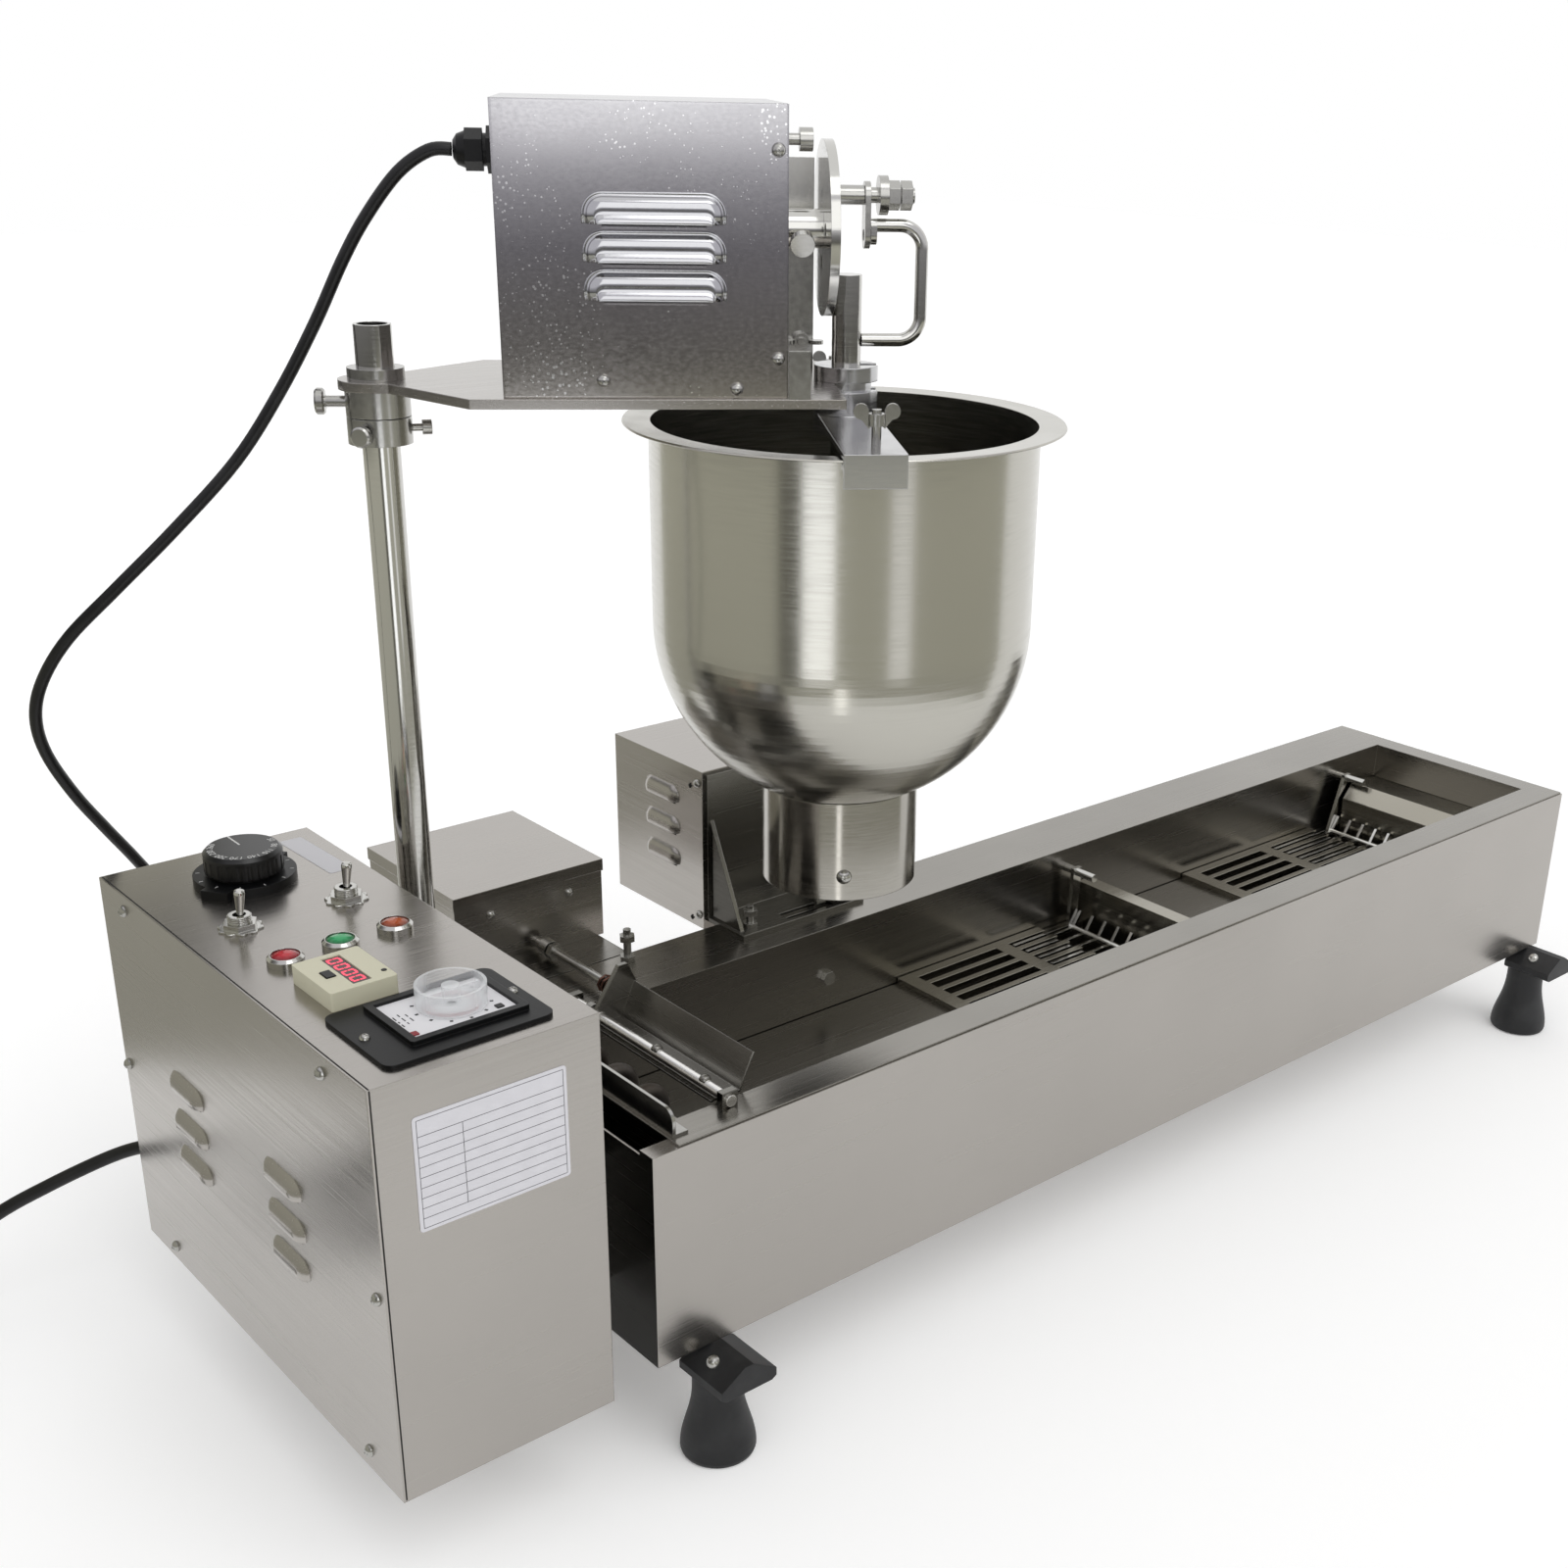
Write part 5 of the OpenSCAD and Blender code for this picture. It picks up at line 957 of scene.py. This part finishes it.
def cross(bm, plane, across):
    rise = across * DOME_RISE
    ball = (across ** 2 / 4 + rise ** 2) / (2 * rise)
    far, near_by = across * CROSS_REACH, across * CROSS_HALF
    arm = [(far, near_by), (near_by, near_by), (near_by, far)]
    upper = arm + [(-u, v) for u, v in arm[::-1]]
    outline = upper + [(-u, -v) for u, v in upper]
    tops = [bm.verts.new(plane(u, v, rise - ball + math.sqrt(ball ** 2 - u * u - v * v) + CROSS_PROUD))
            for u, v in outline]
    feet = [bm.verts.new(plane(u, v, rise * 0.4)) for u, v in outline]
    middle = bm.verts.new(plane(0, 0, rise + CROSS_PROUD))
    for k in range(len(outline)):
        n = (k + 1) % len(outline)
        bm.faces.new((feet[k], feet[n], tops[n], tops[k]))
        bm.faces.new((tops[k], tops[n], middle))
    bm.faces.new(feet[::-1])


recesses = bmesh.new()
for y, z in SIDE_SCREWS:
    cross(recesses, on_left_side(y, z), 7)
for x, y in TIMER_SCREWS:
    cross(recesses, flat_on(x, y, TIMER_SCREW_TOP), 5.6)
mid_box = Vector(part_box("mid_drive_box")[0]) * 1000 + MIDDLE
for y, z in MID_BOX_SCREWS:
    cross(recesses, on_left_side(mid_box.y + y, mid_box.z + z, mid_box.x), 6)
keep("screw_recesses", recesses, joint_black_and_recess_shade, "base")
print("recesses on the base:", len(SIDE_SCREWS + TIMER_SCREWS + MID_BOX_SCREWS))

# %% Cross recesses of the dosing head
HEAD_SCREWS = ((138, 119), (138, 20), (117, 5), (50, 9))
NECK_RADIUS, BOWL_REACH, NECK_SCREWS_UP, NECK_SCREW_ANGLES = 46, 250, 15, (-93, 27, 147)


def on_neck(angle, z):
    s, t = math.cos(angle), math.sin(angle)
    return lambda u, v, w: on_arm(BOWL_REACH + (NECK_RADIUS + w) * s - u * t,
                                  (NECK_RADIUS + w) * t + u * s, z + v)


# These crosses, too, are painted shade in place of hollow recesses.
head_recesses = bmesh.new()
for s, z in HEAD_SCREWS:
    cross(head_recesses, on_motor_box(s, z), 7)
neck_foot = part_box("hopper_neck")[0][2] * 1000
for degrees in NECK_SCREW_ANGLES:
    cross(head_recesses, on_neck(math.radians(degrees), neck_foot + NECK_SCREWS_UP), 9)
keep("head_screw_recesses", head_recesses, joint_black_and_recess_shade, "arm")
print("recesses on the head:", len(HEAD_SCREWS + NECK_SCREW_ANGLES))

# %% [markdown]
# The motor box has three pressed hoods with a bead round each. A hood's outline is a D on its
# side. It rises from the bead over a round shoulder, and its face falls to a straight lower lip
# that is open. So a hood is a set of outlines too: the first ones shrink, the last ones get lower.

# %% Pressed hoods of the motor box
HOOD_HALF, HOOD_RADIUS, HOOD_LIP, HOOD_TOP, SHOULDER = 34, 9, -4, 9.6, 4.6
BEAD = ((1.4, -0.1), (1.2, 0.5), (0.7, 0.8), (0.2, 0.5), (0, 0.3), (-1.0, 2.2), (-2.6, 3.9),
        (-SHOULDER, 4.6))
FALL = ((2.5, 4.7), (1.0, 4.35), (0.2, 4.9), (-1.2, 5.7), (-2.6, 6.4), (-4.0, 6.6))
HOOD_MIDDLE, HOOD_HEIGHTS, CORNER_STEPS, LIP_SHARE = 77, (88, 70, 52), 8, 0.95


def hood_outline(grow):
    quarter = [math.radians(90 * k / CORNER_STEPS) for k in range(CORNER_STEPS + 1)]
    reach = HOOD_RADIUS + grow
    corners = [(way * (HOOD_HALF - HOOD_RADIUS + reach * math.cos(a)),
                HOOD_TOP - HOOD_RADIUS + reach * math.sin(a))
               for way, angles in ((-1, quarter), (1, quarter[::-1])) for a in angles]
    return [(-HOOD_HALF - grow, HOOD_LIP)] + corners + [(HOOD_HALF + grow, HOOD_LIP)]


def hood(bm, plane):
    rings = [[(u, v, w) for u, v in hood_outline(grow)] for grow, w in BEAD]
    full = HOOD_TOP - SHOULDER - HOOD_LIP
    for reach, w in FALL:
        left = (reach - HOOD_LIP) / full
        rings.append([(u * (LIP_SHARE + (1 - LIP_SHARE) * left), HOOD_LIP + (v - HOOD_LIP) * left, w)
                      for u, v in hood_outline(-SHOULDER)])
    made = [[bm.verts.new(plane(*p)) for p in ring] for ring in rings]
    for low, high in zip(made, made[1:]):
        for k in range(len(low) - 1):
            bm.faces.new((low[k], low[k + 1], high[k + 1], high[k])).smooth = True
    closing = [ring[0] for ring in made] + made[-1][1:-1] + [ring[-1] for ring in made[::-1]]
    bm.faces.new(closing[::-1])


hoods = bmesh.new()
for up in HOOD_HEIGHTS:
    hood(hoods, on_motor_box(HOOD_MIDDLE, up))
keep("motor_box_hoods", hoods, hood_alloy, "arm")
print("hoods:", len(HOOD_HEIGHTS))

# %% [markdown]
# Each toggle is clamped by a lobed lock washer, and its bush shows a few threads above it. The
# threads are plain ridges, because at this size nobody sees that a real one climbs. The side cover
# is a sheet of its own, so a thin dark line marks its joint on the front and on the panel.

# %% Toggle washers and threads, and the joint of the side cover
TOGGLES = ((32, 201), (93, 201))
WASHER = ((11.2, 0.9, 0), (11.2, 0.9, 0.8), (10.9, 0.8, 1.1))
WASHER_LOBES, WASHER_HOLE, BUSH_HOLE = 10, 10.3, 5.6
THREAD = ((5.9, 0), (6.3, 0.3), (6.3, 0.45), (5.9, 0.75))
THREADS, THREAD_START, THREAD_PITCH = 4, 4.4, 0.95
washers = bmesh.new()
for x, y in TOGGLES:
    plane = flat_on(x, y, PANEL_TOP)
    stack(washers, plane, [(circle(radius, 80, WASHER_LOBES, wave), w) for radius, wave, w in WASHER],
          hole=circle(WASHER_HOLE, 80))
    for k in range(THREADS):
        foot = THREAD_START + THREAD_PITCH * k
        stack(washers, plane, [(circle(radius, 48), foot + w) for radius, w in THREAD],
              hole=circle(BUSH_HOLE, 48))
keep("toggle_washers_and_threads", washers, turned_steel, "base")

JOINT_X, JOINT_WIDE, JOINT_THICK, JOINT_FOOT, JOINT_HIGH, JOINT_LONG = 1.1, 0.9, 0.06, 74, 231, 313.6
joint = bmesh.new()
low_block(joint, on_front(JOINT_X, JOINT_FOOT), 0, 0, JOINT_WIDE, JOINT_HIGH, JOINT_THICK, 0.2)
low_block(joint, flat_on(JOINT_X, 0, PANEL_TOP), 0, 0.3, JOINT_WIDE, JOINT_LONG, JOINT_THICK, 0.2)
keep("side_cover_joint", joint, joint_black_and_recess_shade, "base")

# %% [markdown]
# ## The room
# The machine stands on white paper in soft light from all sides. The eye and a mirror see the room
# as pure white, while the light it gives is a little dimmer, so that pale steel stands out. The
# paper glows faintly to the eye, or it would look grey. A broad sun adds a soft shadow.


# %% Floor
FLOOR_HALF, FLOOR_BELOW, FLOOR_GLOW = 8, 0.0002, 0.13
WHITE_LIGHT = (1, 1, 1, 1)


def looks(tree):
    ray = add(tree, "ShaderNodeLightPath").outputs
    mirrored = calc(tree, "MAXIMUM", ray["Is Glossy Ray"], ray["Is Transmission Ray"])
    return calc(tree, "MAXIMUM", ray["Is Camera Ray"], mirrored)


def white_paper():
    made, tree, _, place = blank_material("white paper sweep")
    fibre = add(tree, "ShaderNodeBump", {"Height": noise(tree, place, 800), "Strength": 0.02})
    glow = add(tree, "ShaderNodeEmission", {"Color": WHITE_LIGHT, "Strength": FLOOR_GLOW})
    matt = add(tree, "ShaderNodeBsdfDiffuse", {"Color": linear("#fbfbfb"), "Roughness": 0.5,
                                               "Normal": fibre.outputs["Normal"]}).outputs["BSDF"]
    lit = add(tree, "ShaderNodeAddShader", {0: matt, 1: glow.outputs["Emission"]}).outputs["Shader"]
    surface(tree, add(tree, "ShaderNodeMixShader", {0: looks(tree), 1: matt, 2: lit}).outputs["Shader"])
    return made


floor_corners = [(x * FLOOR_HALF, y * FLOOR_HALF, 0) for x, y in ((-1, -1), (1, -1), (1, 1), (-1, 1))]
floor_mesh = bpy.data.meshes.new("floor")
floor_mesh.from_pydata(floor_corners, [], [(0, 1, 2, 3)])
floor_mesh.materials.append(white_paper())
floor = placed("floor", floor_mesh)
floor.location.z = cad_box[0][2] - FLOOR_BELOW
print("the floor lies at", round(floor.location.z, 4), "m")

# %% Light and surroundings
ROOM_LIGHT = (0.80, 0.80, 0.80, 1)
world = bpy.data.worlds.new("studio")
bpy.context.scene.world = world
world.use_nodes = True
sky = world.node_tree
sky.nodes.clear()
shown = mixed(sky, looks(sky), ROOM_LIGHT, WHITE_LIGHT)
backdrop = add(sky, "ShaderNodeBackground", {"Color": shown, "Strength": 1})
add(sky, "ShaderNodeOutputWorld", {"Surface": backdrop.outputs["Background"]})

lamp = placed("soft_lamp", bpy.data.lights.new("soft_lamp", "SUN"))
lamp.data.energy = 0.6
lamp.data.angle = math.radians(40)
lamp.rotation_euler = (math.radians(35), math.radians(15), math.radians(-20))
bpy.context.scene.view_settings.view_transform = "Standard"
print("the sun is", round(math.degrees(lamp.data.angle)), "degrees wide")

# %% [markdown]
# A polished bowl in an all-white room looks like chalk. Studios stand dark cards on the camera's
# side, with white strips in front of them. Here they are parts of cylinders round the bowl: two
# olive cards with a dark band half a metre up, four lit strips and a dark one. Only reflections see
# them: they give no light, cast no shadow, and no other view is blocked.


# %% Cards that only polished metal sees
def card_finish(name, stops, strength):
    made, tree, _, place = blank_material(name)
    tints = ramp(tree, parts(tree, place)["Z"], stops)
    shine = add(tree, "ShaderNodeEmission", {"Color": tints, "Strength": strength})
    surface(tree, shine.outputs["Emission"])
    return made


BOWL = COLUMN + turned(BOWL_REACH, 0)
TO_CAMERA = math.degrees(math.atan2(eye.y - BOWL.y, eye.x - BOWL.x))


def card_wall(name, radius, low, high, first, last, steps, look, stops, strength=1.0):
    bm = bmesh.new()
    rows = []
    for k in range(steps + 1):
        a = math.radians(TO_CAMERA + first + (last - first) * k / steps)
        rows.append([bm.verts.new(at(BOWL.x + radius * math.cos(a), BOWL.y + radius * math.sin(a), z))
                     for z in (low, high)])
    for one, two in zip(rows, rows[1:]):
        bm.faces.new((one[0], two[0], two[1], one[1]))
    made = solid(name, bm, card_finish(look, stops, strength))
    for ray in ("camera", "diffuse", "transmission", "shadow"):
        setattr(made, f"visible_{ray}", False)


# %% [markdown]
# Each row below is one card: its name, its distance from the bowl, its lower and upper edge in
# millimetres, its start and end in degrees from the camera, its count of flat pieces, and the name,
# stops and strength of its finish. A stop is a height in metres with its colour.

# %% The cards
OLIVE = ((0.10, "#aeada3"), (0.46, "#c4c3b6"), (0.51, "#5d5c57"), (0.60, "#8f8e90"), (0.70, "#e4e3e8"))
WHITE = ((0, "#ffffff"), (1, "#ffffff"))
COOL = ((0, "#ffffff"), (1, "#f2f6ff"))
SHADE = ((0, "#6f6e66"), (1, "#6f6e66"))
CARDS = (
    ("left_card", 600, 80, 1300, -125, 0, 24, "olive card", OLIVE),
    ("right_card", 600, 80, 1300, 0, 100, 24, "olive card, far side", OLIVE),
    ("low_strip", 550, 2, 200, -3, 3, 4, "lit strip", WHITE, 2.2),
    ("bowl_strip", 550, 240, 490, -21, -4, 8, "broad lit strip", COOL, 1.8),
    ("high_strip", 550, 680, 1100, -16, 24, 8, "high lit strip", WHITE, 1.6),
    ("side_strip", 550, 240, 490, 25, 37, 6, "dim strip", WHITE, 1.05),
    ("shade_strip", 545, 200, 490, -34, -22, 6, "dark strip", SHADE),
)
for row in CARDS:
    card_wall(*row)
print("cards:", len(CARDS))
